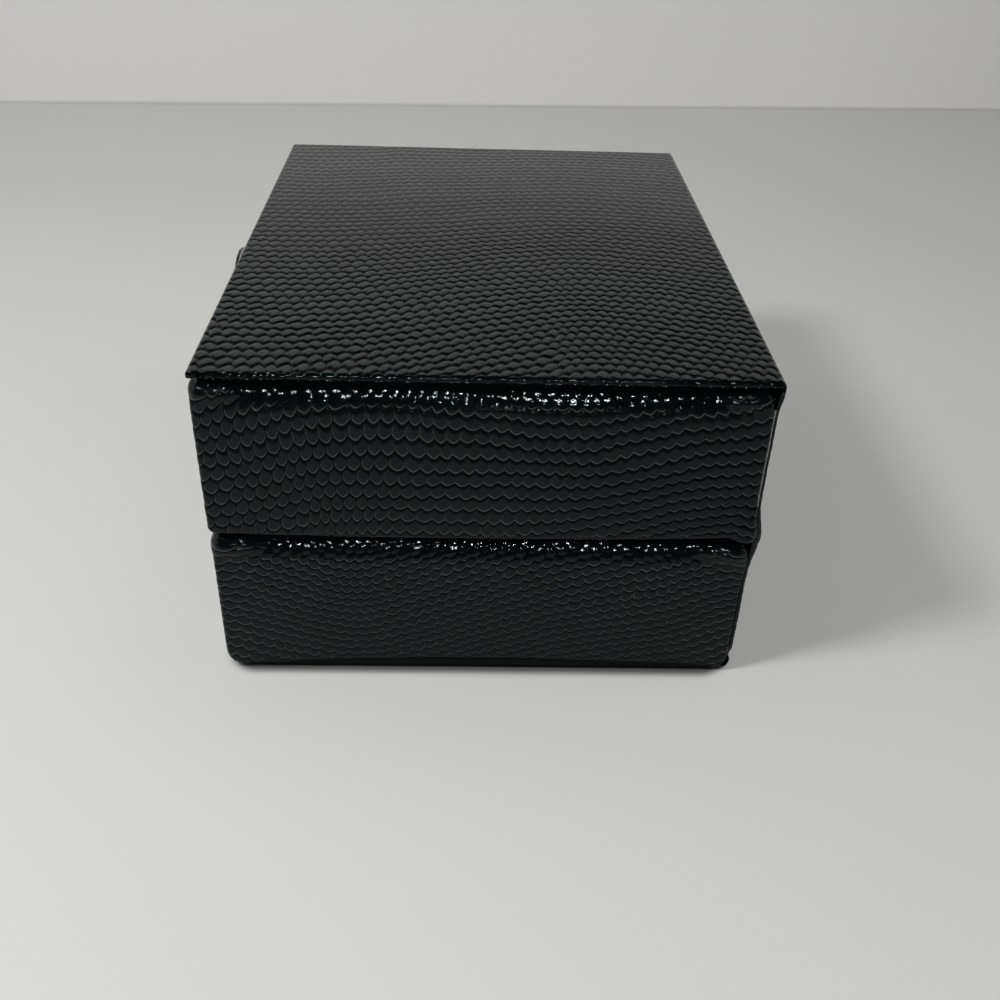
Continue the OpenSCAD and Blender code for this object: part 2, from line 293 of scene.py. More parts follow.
def make_band(name, plan, path, face, rim, sag, tuck, flare, turn, row, walls, depth, seed):
    """path: (inset, height, emboss) round the section. face: heights between which the wall swells.
    rim: heights over which corners stand fuller. sag: how far each column's free edge moves, and
    the height where that has died away. tuck: how far in and how high up the free edge's corners
    are drawn. flare: how far the back corners stand out at the split, and over which heights.
    turn, row and walls run along the columns; depth is the emboss's strength at a height."""
    along, corner, outside = column_facts(plan)
    inset, height, weight = (np.repeat(np.array(v)[:, None], len(along), 1) for v in zip(*path))
    outer = weight > 0
    steps = [math.dist(a[:2], b[:2]) for a, b in zip(path, path[1:])]
    length = np.concatenate([[0], np.cumsum(steps)])[:, None]
    # corners stand fuller near the rim, and the emboss goes on right up to it there
    full = smooth(height, *rim)
    high = smooth(height, rim[0] - 0.5, rim[0]) * (1 - smooth(height, rim[1] + 0.2, rim[1] + 0.9))
    weight = np.maximum(weight, 0.9 * smooth(corner, 0.3, 1) * high * outer)
    near_face = inset < 4
    edge = (sag[1] - height) / (sag[1] - face[0])
    drawn = 1 - np.clip((height - face[0]) / tuck[1], 0, 1)
    inset = inset * (1 - 0.3 * smooth(corner, 0.1, 1) * full * near_face)
    inset = inset - 0.6 * smooth(corner, 0.3, 1) * full * outer
    # the back corners stand out at the split, and the middle of each wall swells
    at_back = smooth(outside[:, 1], 27, 29) * smooth(corner, 0.3, 1) * outer
    inset = inset - flare[0] * at_back * smooth(height, *flare[1])
    swell = np.clip((height - face[0]) / (face[1] - face[0]), 0, 1)
    inset = inset - 0.16 * np.sin(np.pi * swell) * (1 - corner) * outer
    height = height + sag[0] * np.clip(edge, 0, 1) ** 2
    points = band_points(plan, inset, height, 1.3 * full * outer)
    points[..., 1] -= np.sign(points[..., 1]) * tuck[0] * smooth(corner, 0.9, 1) * drawn ** 2 * outer
    # rows are counted up the wall from its middle
    upward = 1 if (np.diff(height[:, 0]) * weight[1:, 0]).sum() > 0 else -1
    length = length - length[weight[:, 0] > 0].mean()
    scale, rows = drifting_grain(-along, upward * length + 0 * inset, turn, row, seed)
    walls = walls + 0.3 * wander(along, height, 6, seed + 7)
    grain = np.stack([scale, rows, np.clip(walls, 0, 1)], -1)
    at_front = outside[:, 1] < 0
    emboss = weight * depth(height) * (1 - 0.15 * smooth(corner, 0.75, 0.95) * full * at_front)
    faces = grid_faces(len(path), len(along), wrap_rows=True, wrap_columns=True)
    return make_piece(name, points.reshape(-1, 3), faces, grain.reshape(-1, 3), emboss.ravel())


# %% [markdown]
# ## The lid's and the base's coverings
# A section is drawn once, as insets and heights, and each stretch of it is tagged with how strong
# the emboss is there: full on the wall, fading over the rounded rim and none on the glued side.
# What changes round the box, such as the slope of the rows, is a short list for each side. It is
# spread over that side's columns and blurred at the corners, because one sheet goes round them.

# %% Values that change round the box
SIDE_X, SIDE_Y = 38, 29
WIDE, DEEP = 78, 60
BLUR = 11


def side_value(outside, near, front, far, back):
    """A value along the columns: each side's list runs left to right as seen from outside."""
    x, y = outside[:, 0], outside[:, 1]
    sides = ((x > SIDE_X, y / DEEP + 0.5, near), (y < -SIDE_Y, x / WIDE + 0.5, front),
             (x < -SIDE_X, 0.5 - y / DEEP, far), (y > SIDE_Y, 0.5 - x / WIDE, back))
    result = np.zeros(len(x))
    for here, share, values in sides:
        result[here] = np.interp(share[here], np.linspace(0, 1, len(values)), values)
    kernel = np.hanning(2 * BLUR + 1)
    return np.convolve(np.pad(result, BLUR, mode="wrap"), kernel / kernel.sum(), "valid")


_, _, lid_outside = column_facts(lid_plan)
_, _, base_outside = column_facts(base_plan)
print("columns on the near side:", int((lid_outside[:, 0] > SIDE_X).sum()))

# %% Sections of the two bands
def tagged(points, weight):
    """Section points with the emboss's strength on them."""
    return [(*p, weight) for p in points]


def crown(points, fade):
    """A rounded rim over which the emboss dies away."""
    return [(*p, w) for p, w in zip(points, fade)]


def crown_fade(count):
    """How the emboss dies away over a rounded rim, from the wall to the top."""
    return 1 - 0.85 * smooth(np.linspace(0, 1, count), 0.1, 0.27)


lid_path = (
    # down inside the wall and out along its lower edge
    tagged([(2.1, 22.4)] + run((2.1, 22.4), (2.1, 19.7), 0.9) + arc((1.6, 19.7), (0.5, 0.5), 0, -90, 3)
           + run((1.6, 19.2), (0.7, 19.2), 0.45), 0)
    # round that edge, up the wall and over the crown
    + tagged(arc((0.7, 19.9), (0.7, 0.7), -90, -180, 5), 0.5)
    + tagged(run((0, 19.9), (0, 34.7), STEP), 1)
    + crown(arc((2.4, 34.7), (2.4, 3.8), 180, 90, 16), crown_fade(16))
    # in under the top panel, then all the way back along the glued side
    + tagged(run((2.4, 38.5), (8.4, 38.5), 1.5) + [(8.4, 38.1)] + run((8.4, 38.1), (2.6, 38.1), 3)
             + arc((2.6, 34.9), (2.2, 3.2), 90, 180, 4) + run((0.4, 34.9), (0.4, 20.1), 5)
             + arc((0.9, 20.1), (0.5, 0.5), 180, 270, 2) + run((0.9, 19.6), (1.4, 19.6), 0.5)
             + [(1.7, 19.9)] + run((1.7, 19.9), (1.7, 22.4), 2), 0))
base_path = (
    # up inside the wall to its rim
    tagged([(2.4, 13.0)] + run((2.4, 13.0), (2.4, 18.4), 1.1) + arc((1.8, 18.4), (0.6, 0.6), 0, 90, 4), 0)
    # over the rim, down the wall and round its foot
    + crown(arc((1.8, 15.6), (1.8, 3.4), 90, 180, 14), crown_fade(14)[::-1])
    + tagged(run((0, 15.6), (0, 2.1), STEP), 1)
    + tagged(arc((0.7, 2.1), (0.7, 0.7), 180, 270, 5), 0.5)
    # in under the floor, then all the way back along the glued side
    + tagged(run((0.7, 1.4), (8.4, 1.4), 2) + [(8.4, 1.8)] + run((8.4, 1.8), (1.1, 1.8), 3)
             + arc((1.1, 2.5), (0.7, 0.7), 270, 180, 2) + run((0.4, 2.5), (0.4, 15.6), 5)
             + arc((1.8, 15.6), (1.4, 3.0), 180, 90, 4) + [(2.0, 18.4)]
             + run((2.0, 18.4), (2.0, 13.0), 3), 0))
print("points in the sections:", len(lid_path), len(base_path))

# %% The lid's covering
lid_wrap = make_band(
    "lid_covering", lid_plan, lid_path, face=(lid_z[0], 36.5), rim=(35.3, 37.3),
    sag=(side_value(lid_outside, near=[0.3, 0.05, 0, 0.1, 0.6], front=[0.3, 0, 0.05, 0.3],
                    far=[0.35, 0.05, 0, 0.3], back=[0.2, 0.2]), 25),
    tuck=(0.6, 1.2), flare=(0.65, (26, lid_z[0])),
    turn=side_value(lid_outside, near=[8, 12, 20, 2, -5, -1, 0, 2, 6, 16, 15, 6, 5], front=[9, 2, -6, 4],
                    far=[6, -7, 3, -4], back=[0, 0]),
    row=side_value(lid_outside, near=[1.62, 1.66, 1.76, 1.66, 1.42, 1.36, 1.36], front=[1.5, 1.6],
                   far=[1.6, 1.5], back=[1.5, 1.5]),
    walls=side_value(lid_outside, near=[1, 1, 0.4, 0.25, 0.1, 0.1], front=[0.5, 0.2, 0.6],
                     far=[0.3, 0.7], back=[0, 0]),
    depth=lambda height: 1.0, seed=11)
print(lid_wrap.name, len(lid_wrap.data.polygons), "faces")

# %% The base's covering
base_wrap = make_band(
    "base_covering", base_plan, base_path, face=(base_z[0], 18.4), rim=(15.8, 17.8),
    sag=(side_value(base_outside, near=[-1.5, -0.4, 0.05, 0.05, -0.4, -1.0], front=[-0.2, 0.2, -1.2],
                    far=[-0.3, 0.2, -0.3], back=[-1.2, 0, 0, -0.3]), 8),
    tuck=(1.5, 1.7), flare=(0.25, (13, 18)),
    turn=side_value(base_outside, near=[-12, -16, -17, -2, 14, 21, 22, 20, 16, 12, 14, 18, 16],
                    front=[6, -4, 3], far=[-4, 6, -2], back=[0, 0]),
    row=side_value(base_outside, near=[1.05, 1.05, 1.03, 1.12, 1.14], front=[1.1, 1.05],
                   far=[1.05, 1.1], back=[1, 1]),
    walls=side_value(base_outside, near=[0.6, 0.7, 0.7, 0.5], front=[0.5, 0.3, 0.6],
                     far=[0.4, 0.7], back=[0, 0]),
    depth=lambda height: 0.78 + 0.14 * smooth(height, 6, 13), seed=31)
print(base_wrap.name, len(base_wrap.data.polygons), "faces")

# %% [markdown]
# ## The bound cover
# The top panel is a board bound in the same sheet: its edges are rolled over on three sides and at
# the back it bends down into the spine. A rolled edge and a rolled corner share one arc, so the
# grid is folded like a box lid: at the two front corners its squares are left out and the cut
# edges meet. At the back the side flaps open flat, which makes the small pointed ears.

# %% Rows and columns of a bound panel
SKIRT = 2
ROUNDING = 6


def panel_rows(front, back, thick, edge_r, tail, step):
    """Rows from the front edge to the spine, each with its y, its depth under the face and the way
    it faces in degrees. The number of the first flat row is given too."""
    quarter = [(a, math.radians(a)) for a in np.linspace(0, 90, ROUNDING + 1)]
    rows = [(front, thick - (thick - edge_r) * k / SKIRT, -90) for k in range(SKIRT)]
    rows += [(front + edge_r * (1 - math.cos(r)), edge_r * (1 - math.sin(r)), a - 90) for a, r in quarter]
    first_flat = len(rows) - 1
    rows += [(y, 0, 0) for y, _ in run((front + edge_r, 0), (back - thick, 0), step)]
    rows += [(back - thick * (1 - math.sin(r)), thick * (1 - math.cos(r)), a) for a, r in quarter[1:]]
    rows += [(back, thick + tail * k / SKIRT, 90) for k in range(1, SKIRT + 1)]
    return rows, first_flat


def panel_columns(reach, drop, step):
    """Columns from side to side: the x where each one's bend starts, the bend in degrees and how far
    it runs straight on from there."""
    flat = [x for x, _ in run((-reach, 0), (reach, 0), step)]
    quarter = list(np.linspace(90, 0, ROUNDING + 1))
    bend = [90.0] * SKIRT + quarter + [0.0] * (len(flat) - 1) + quarter[::-1] + [90.0] * SKIRT
    fall = [drop * (SKIRT - k) / SKIRT for k in range(SKIRT)]
    straight = fall + [0.0] * (2 * ROUNDING + 1 + len(flat)) + fall[::-1]
    ends = SKIRT + ROUNDING + 1
    starts = [-reach] * ends + flat[:-1] + [reach] * ends
    return (np.array(v, float)[None, :] for v in (starts, bend, straight))


print("rows along a panel 60 mm deep:", len(panel_rows(-30, 30, 0.7, 0.4, 0.6, 0.25)[0]))

# %% Panel bound over a board
SHEET = 0.4


def bound_panel(name, half_x, front, back, face_z, sense, thick, edge_r, spine_half, tail, step, row, turn,
                walls, seed):
    """sense is 1 for the top and -1 for the bottom, and tail is how far the sheet runs on down the
    spine. row and turn give the rows' spacing and slope at a y, and walls how round the scales are."""
    reach, drop = half_x - edge_r, thick - edge_r
    rows, first_flat = panel_rows(front, back, thick, edge_r, tail, step)
    y, under, facing = (np.array(v, float)[:, None] for v in zip(*rows))
    facing = np.radians(facing)
    x0, bend, straight = panel_columns(reach, drop, step)
    bend = np.radians(bend)
    n = bend.size
    side = np.where(np.arange(n) < n / 2, -1.0, 1.0)[None, :]
    # where the rows turn down at the back, the side flaps open flat and draw in to the spine
    opened = smooth(facing, 0.2, np.pi / 2)
    fold = np.maximum(1 - opened, 1e-3)
    angle = fold * bend
    shrink = 1 + opened * ((spine_half - reach) / (edge_r * np.pi / 2 + drop) - 1)
    out = (edge_r * np.sin(angle) / fold + straight * np.cos(angle)) * shrink
    down = (edge_r * (1 - np.cos(angle)) / fold + straight * np.sin(angle)) * shrink
    z = face_z - sense * (under + down * np.cos(facing))
    points = np.stack([x0 + side * out, y - down * np.sin(facing), z], -1)

    # the front corners' squares are left out, where the rows and the columns both stand on edge
    def is_corner(r, c):
        return (r < first_flat) & ((c < SKIRT) | (c >= n - 1 - SKIRT))

    faces = grid_faces(len(rows), n, skip=is_corner)
    # the emboss lies over the flattened sheet, worn towards the far side and stretched over edges
    travel = np.concatenate([[0], np.cumsum(np.hypot(np.diff(y[:, 0]), np.diff(under[:, 0])))])
    spread = (x0 + side * (edge_r * bend + straight))[0]
    across = spread[:, None] + 0 * travel[None, :]
    scale, count = drifting_grain(travel, across, turn(y[:, 0]), row(y[:, 0]), seed)
    spots = walls + 0.3 * wander(spread[None, :], travel[:, None], 8, seed + 7)
    grain = np.stack([scale.T, count.T, np.clip(spots, 0, 1)], -1)
    weight = 1 - 0.77 * smooth(-x0, -30, 34)
    for bent in (bend, facing):
        weight = weight * (1 - 0.8 * smooth(np.abs(bent), 0.05, 0.7))
    weight = weight * (1 - smooth(under, thick - 0.1, thick + 0.2))
    # the rim goes in from the outer edge by the sheet's thickness, then up to the board
    border = list(range(SKIRT, n - SKIRT))
    border += [r * n + n - 1 for r in range(first_flat + 1, len(rows))]
    border += [(len(rows) - 1) * n + c for c in range(n - 2, -1, -1)]
    border += [r * n for r in range(len(rows) - 2, first_flat, -1)]
    outer = points.reshape(-1, 3)
    lower = outer[border]
    lower[:, 0] = np.clip(lower[:, 0], -half_x + SHEET, half_x - SHEET)
    lower[:, 1] = np.clip(lower[:, 1], front + SHEET, back - SHEET)
    upper = lower.copy()
    upper[:, 2] = face_z - sense * SHEET
    m, start = len(border), len(outer)
    rings = [border, list(range(start, start + m)), list(range(start + m, start + 2 * m))]
    for low, high in zip(rings, rings[1:]):
        faces += [[low[k], low[(k + 1) % m], high[(k + 1) % m], high[k]] for k in range(m)]
    faces.append(rings[-1])
    hidden = np.zeros((2 * m, 3))
    return make_piece(name, np.concatenate([outer, lower, upper]), faces,
                      np.concatenate([grain.reshape(-1, 3), hidden]),
                      np.concatenate([weight.ravel(), hidden[:, 0]]))


# %% Top and bottom panels
top_panel = bound_panel(
    "top_panel", half_x=39.15, front=-30.1, back=30.45, face_z=TOP, sense=1, thick=0.68, edge_r=0.42,
    spine_half=38.9, tail=0.62, step=0.25, row=lambda y: np.interp(y, (-20, 8, 25), (1.7, 1.5, 1.55)),
    turn=lambda y: np.interp(y, (-28, -20, -13, -3, 7, 14, 20, 27), (2, -6, -15, -10, -12, 3, 9, 14)),
    walls=0.75, seed=51)
bottom_panel = bound_panel(
    "bottom_panel", half_x=38.75, front=-28.3, back=30.15, face_z=0, sense=-1, thick=1.4, edge_r=0.22,
    spine_half=37.95, tail=0.3, step=0.36, row=lambda y: 1.5, turn=lambda y: 6 * wander(y, 0 * y, 15, 6),
    walls=0.4, seed=61)
for piece in (top_panel, bottom_panel):
    print(piece.name, len(piece.data.polygons), "faces", [round(v * 1000, 2) for v in piece.dimensions])

# %% [markdown]
# ## The spine
# Between the two panels the same sheet runs bare down the back, and that strip is the hinge. Its
# cut sides show how leatherette is made: a dark skin on a pale knitted backing. It swells a
# little just over the split, where it has been opened and closed.

# %% Spine sheet
def spine_sheet(name, half_x, low, high, outside, thick, backing, step):
    """low and high are the heights of its ends, outside the y of its face, and backing how much of
    its thickness is knit."""
    heights = np.array([low] + [z for z, _ in run((low, 0), (high, 0), step)])
    up = heights[:, None]
    across = np.array([-half_x] + [x for x, _ in run((-half_x, 0), (half_x, 0), step)])
    inside = np.linspace(half_x, -half_x, 14)[1:-1]
    x = np.concatenate([across, [half_x, half_x], inside, [-half_x, -half_x]])
    coat = thick - backing
    depth = np.concatenate([0 * across, [coat, thick], thick + 0 * inside, [thick, coat]])
    rows, columns, n = len(heights), len(x), len(across)
    waver = 0.05 * wander(heights, 0 * heights, 2.3, 77)[:, None] * np.sign(x) * (np.abs(x) > half_x - 0.01)
    # it bulges over the split and is creased along it, and its foot is drawn in
    swell = 0.8 * np.exp(-((up - 20.0) / 2.9) ** 2) * (1 - smooth(np.abs(x), 30, 38.9) * 0.1)
    crease = -0.12 * np.exp(-((up - 19.1) / 0.35) ** 2)
    y = outside - depth + (swell + crease) * (1 - 0.5 * depth / thick) + 0.3 * smooth(up, 35.8, 37.8)
    foot = 1 - 0.025 * (1 - smooth(up, low, low + 2.2))
    points = np.stack([x * foot + waver, np.minimum(y, outside + 0.8), up + 0 * x], -1)
    quads = grid_faces(rows, columns, wrap_columns=True)
    # the pale cut shows only between the split's swell and the crown
    shown = abs(up + 0 * x - 30) <= 6
    marks = [1 if n <= q[0] % columns < columns - 1 and shown.flat[q[0]] else 0 for q in quads]
    faces = quads + [list(range(columns)), [(rows - 1) * columns + c for c in range(columns)][::-1]]
    # the rows of scales run on from the top panel
    travel = (TOP + 30) + (TOP - heights)
    scale, count = drifting_grain(travel[::-1], x[:, None] + 0 * travel[None, ::-1],
                                  10 + 0 * travel, 1.55 + 0 * travel, 51)
    grain = np.stack([scale.T[::-1], count.T[::-1], 0.3 + 0 * scale.T], -1)
    weight = (1 - smooth(heights, high - 1.0, high - 0.2)) * smooth(heights, low + 0.1, low + 0.9)
    weight = weight * (1 - 0.75 * np.exp(-((heights - 19.3) / 1.2) ** 2))
    emboss = weight[:, None] * (depth[None, :] == 0)
    return make_piece(name, points.reshape(-1, 3), faces, grain.reshape(-1, 3), emboss.ravel(),
                      marks=marks + [0, 0])


cover_x, cover_y, _ = edges_of("cover_lower")
spine = spine_sheet("spine", half_x=cover_x[1], low=1.7, high=38.2, outside=cover_y[1], thick=0.4,
                    backing=0.1, step=0.3)
print(spine.name, len(spine.data.polygons), "faces")

# %% [markdown]
# ## Writing node sums as sums
# Both the shape of the emboss and its finish come from formulas. One small class wraps a node
# socket so that a formula in Python adds the Math nodes, and one method adds every other node.

# %% Node sums
class Nodes:
    """A node tree, with one method that adds any node to it."""

    def __init__(self, tree):
        self.tree = tree

    def add(self, kind, settings=None, sockets=None, out=0):
        """Settings are the node's own properties; sockets are its inputs, by name or by place."""
        node = self.tree.nodes.new(kind)
        for name, value in (settings or {}).items():
            setattr(node, name, value)
        for key, value in (sockets or {}).items():
            socket = node.inputs[key] if isinstance(key, int) else next(
                s for s in node.inputs if s.name == key and s.enabled)
            if isinstance(value, Value):
                self.tree.links.new(value.socket, socket)
            else:
                socket.default_value = value
        wanted = [s for s in node.outputs if s.enabled and out in (s.name, 0)]
        return Value(self, wanted[0]) if node.outputs else node


class Value:
    """A socket that takes part in sums."""

    def __init__(self, nodes, socket):
        self.nodes = nodes
        self.socket = socket

    def __add__(self, other):
        return maths("ADD", self, other)

    def __radd__(self, other):
        return maths("ADD", other, self)

    def __sub__(self, other):
        return maths("SUBTRACT", self, other)

    def __rsub__(self, other):
        return maths("SUBTRACT", other, self)

    def __mul__(self, other):
        return maths("MULTIPLY", self, other)

    def __rmul__(self, other):
        return maths("MULTIPLY", other, self)

    def __truediv__(self, other):
        return maths("DIVIDE", self, other)

    def __rtruediv__(self, other):
        return maths("DIVIDE", other, self)

    def __mod__(self, other):
        return maths("FLOORED_MODULO", self, other)

    def __pow__(self, other):
        return maths("POWER", self, other)

    def __abs__(self):
        return maths("ABSOLUTE", self)

    def __lt__(self, other):
        return maths("LESS_THAN", self, other)

    def __gt__(self, other):
        return maths("GREATER_THAN", self, other)


# %% Helpers for formulas
def tree_of(*values):
    """The node tree that the first socket among some values belongs to."""
    return next(v.nodes for v in values if isinstance(v, Value))


def maths(operation, *values):
    """A Math node over values and numbers."""
    return tree_of(*values).add("ShaderNodeMath", {"operation": operation}, dict(enumerate(values)))


def step_up(value, low, high, bottom=0.0, top=1.0):
    """An even step from bottom to top as the value goes from low to high."""
    return value.nodes.add("ShaderNodeMapRange", {"interpolation_type": "SMOOTHSTEP"}, {
        "Value": value, "From Min": low, "From Max": high, "To Min": bottom, "To Max": top})


def mixed(factor, first, second):
    """A colour between two."""
    return tree_of(factor, first, second).add(
        "ShaderNodeMix", {"data_type": "RGBA"}, {"Factor": factor, "A": first, "B": second}, "Result")


def darker(colour, share):
    """A colour with a share of its light."""
    return tuple(c * share for c in colour[:3]) + (1,)


def vector(x, y, z):
    """Three values or numbers as one vector."""
    return tree_of(x, y, z).add("ShaderNodeCombineXYZ", {}, {"X": x, "Y": y, "Z": z})


def part_of(value, axis):
    """One part of a vector."""
    return value.nodes.add("ShaderNodeSeparateXYZ", {}, {"Vector": value}, axis)


def parts_of(value):
    """All three parts of a vector."""
    return [part_of(value, axis) for axis in "XYZ"]


trial = Nodes(bpy.data.node_groups.new("trial", "ShaderNodeTree"))
print("1 - 2 * x adds", len((1 - 2 * trial.add("ShaderNodeValue")).nodes.tree.nodes) - 1, "Math nodes")
bpy.data.node_groups.remove(trial.tree)


# %% [markdown]
# ## One scale
# Scales lie in rows like roof tiles, each row about half a scale along from the next, with the
# free end of every scale rounded. Two sets of rows are measured, odd and even, and the nearer one
# wins. A plate ends in a sharp ledge at its free end and slopes gently under the row behind it.
# The walls between neighbours in a row are deep where the scales are round, and shallow where
# they run together.

# %% Relief of the emboss
def luck_of(x, y, z):
    """A random number for each whole-numbered place."""
    place = vector(x, y, z)
    return place.nodes.add("ShaderNodeTexWhiteNoise", {"noise_dimensions": "3D"}, {"Vector": place}, "Value")


def row_edge(s, t, walls, odd):
    """How far a point lies above the free edges of the odd or the even rows, and where along."""
    row = maths("ROUND", (t - odd) * 0.5)
    along = s + 0.5 * odd + 0.34 * luck_of(row, row * 0 + odd, row * 0)
    scallop = abs(maths("COSINE", along * math.pi)) ** 1.35 - 0.58
    return (t - odd + (0.25 + 0.1 * walls) * scallop) % 2, along


def scale_relief(s, t, walls, ledge, slope):
    """Height of the emboss from 0 in the grooves to 1, the same as a soft dome, a random number for
    each scale and how near its free rim is, where the painted reflection goes. ledge and slope are
    the widths of a plate's two ends, as shares of a row."""
    even, along_even = row_edge(s, t, walls, 0)
    odd, along_odd = row_edge(s, t, walls, 1)
    is_even = even < odd
    along = along_odd + (along_even - along_odd) * is_even
    above = maths("MINIMUM", even, odd)
    below = 2 - maths("MAXIMUM", even, odd)
    luck = luck_of(maths("FLOOR", along + 0.5), maths("FLOOR", t * 0.5 + 0.25), is_even)
    side = maths("PINGPONG", along + 0.5, 0.5)
    wall = 1 - (0.1 + 0.6 * walls) * step_up(side, 0.02, ledge, 1, 0)
    rest = 1 - maths("MINIMUM", below / slope, 1)
    plate = 0.82 + 0.1 * (1 - maths("MINIMUM", above, 1)) + 0.12 * luck
    swell = 1 - (1 - 2 * side) ** 2
    dome = swell * step_up(above, 0, 0.5) * step_up(below, 0, 0.6)
    rim = step_up(above, 0.02, 0.07) * step_up(above, 0.13, 0.2, 1, 0)
    beside = walls * step_up(side, 0.02, 0.05) * step_up(side, 0.08, 0.13, 1, 0) * step_up(below, 0.25, 0.4)
    rim = maths("MAXIMUM", rim, 0.6 * beside)
    return maths("MINIMUM", above / ledge, 1) * (1 - rest * rest) * wall * plate, dome, luck, rim


# %% [markdown]
# ## Pressing the emboss into the sheet
# Geometry Nodes press the deeper half of the relief into the mesh, so that the outline and the
# highlights are really uneven. The finish adds the sharp half, which would need far more faces.

# %% Emboss tree
def emboss_tree():
    """Inputs: the piece, how deep the relief is in metres, and the materials of skin and backing."""
    tree = bpy.data.node_groups.new("Emboss", "GeometryNodeTree")
    for name, direction, kind in (
            ("Geometry", "INPUT", "NodeSocketGeometry"), ("Depth", "INPUT", "NodeSocketFloat"),
            ("Skin", "INPUT", "NodeSocketMaterial"), ("Backing", "INPUT", "NodeSocketMaterial"),
            ("Geometry", "OUTPUT", "NodeSocketGeometry")):
        tree.interface.new_socket(name, in_out=direction, socket_type=kind)
    nodes = Nodes(tree)
    given = nodes.add("NodeGroupInput").socket.node
    entry = {s.name: Value(nodes, s) for s in given.outputs if s.name}

    def attribute(name, kind):
        return nodes.add("GeometryNodeInputNamedAttribute", {"data_type": kind}, {"Name": name}, "Attribute")

    height, _, _, _ = scale_relief(*parts_of(attribute("grain", "FLOAT_VECTOR")), 0.25, 0.4)
    move = entry["Depth"] * attribute("emboss", "FLOAT") * (height - 1)
    offset = nodes.add("ShaderNodeVectorMath", {"operation": "SCALE"},
                       {"Vector": nodes.add("GeometryNodeInputNormal"), "Scale": move})
    pressed = nodes.add("GeometryNodeSetPosition", {}, {"Geometry": entry["Geometry"], "Offset": offset})
    real = nodes.add("GeometryNodeRealizeInstances", {}, {"Geometry": pressed})
    covered = nodes.add("GeometryNodeSetMaterial", {}, {"Geometry": real, "Material": entry["Skin"]})
    backed = nodes.add("GeometryNodeSetMaterial", {}, {
        "Geometry": covered, "Selection": attribute("cut", "FLOAT") > 0.5, "Material": entry["Backing"]})
    nodes.add("NodeGroupOutput", {}, {"Geometry": backed})
    return tree


EMBOSS = emboss_tree()
print("emboss tree:", len(EMBOSS.nodes), "nodes")


# %% Running the emboss tree
def settle(thing, modifier):
    """Keeps a modifier's result as the piece's plain mesh."""
    evaluated = thing.evaluated_get(bpy.context.evaluated_depsgraph_get())
    mesh = bpy.data.meshes.new_from_object(evaluated)
    thing.modifiers.remove(modifier)
    thing.data = mesh


def press(thing, depth, skin, backing):
    """Runs the emboss tree on a piece and keeps its result as a plain mesh; depth is in mm."""
    modifier = thing.modifiers.new("emboss", "NODES")
    modifier.node_group = EMBOSS
    for name, value in (("Depth", depth * MM), ("Skin", skin), ("Backing", backing)):
        socket = next(s for s in EMBOSS.interface.items_tree if s.name == name and s.in_out == "INPUT")
        modifier[socket.identifier] = value
    settle(thing, modifier)
    thing.data.name = thing.name
    print(thing.name, len(thing.data.polygons), "faces", [m.name for m in thing.data.materials])


# %% [markdown]
# ## Leatherette
# Paper-backed leatherette has a thin dark coat that is satin on the scales and a little duller in the
# grooves. The light line that the pale table's reflection puts along each scale's free rim is painted
# on as grey, a painted reflection. The grooves are too narrow for the gloss to show, so they are a
# second, dull shader in the darker coat colour, mixed in by the relief's own height; with the plates'
# colour darkening towards them, this is painted shade. Rolled edges stretch the emboss nearly flat,
# so the same number that fades the relief there also turns the roughness down, and only a faint
# pebble is left. Three skins come from one recipe: the base's grooves are narrower than the lid's,
# and the panels' plates are flatter and get little of the painted rim reflection.

# %% Finish helpers
def new_finish(name):
    """A blank material, its nodes and the place on the piece in metres."""
    material = bpy.data.materials.new(name)
    material.use_nodes = True
    material.node_tree.nodes.clear()
    nodes = Nodes(material.node_tree)
    return material, nodes, nodes.add("ShaderNodeTexCoord", {}, {}, "Object")


def surface(nodes, sockets):
    """Ends a material in one plain shader."""
    shader = nodes.add("ShaderNodeBsdfPrincipled", {}, sockets)
    nodes.add("ShaderNodeOutputMaterial", {}, {"Surface": shader})


def noise(nodes, where, size, detail=2):
    """Noise whose lumps are about size millimetres across; where is in metres."""
    return nodes.add("ShaderNodeTexNoise", {}, {
        "Vector": where, "Scale": 1 / (size * MM), "Detail": detail}, "Fac")


def cells(nodes, where, size):
    """Distance from the middle of round cells that are about size millimetres across."""
    return nodes.add("ShaderNodeTexVoronoi", {"feature": "F1"}, {
        "Vector": where, "Scale": 1 / (size * MM)}, "Distance")


def bumped(nodes, height, depth, strength=1.0):
    """A normal from a height whose 1 stands for depth millimetres."""
    return nodes.add("ShaderNodeBump", {}, {"Strength": strength, "Distance": depth * MM, "Height": height})


print("noise of 0.25 mm lumps has scale", 1 / (0.25 * MM))

# %% Leatherette material
RIM_SHEEN_PAINT = (0.075, 0.085, 0.085, 1)


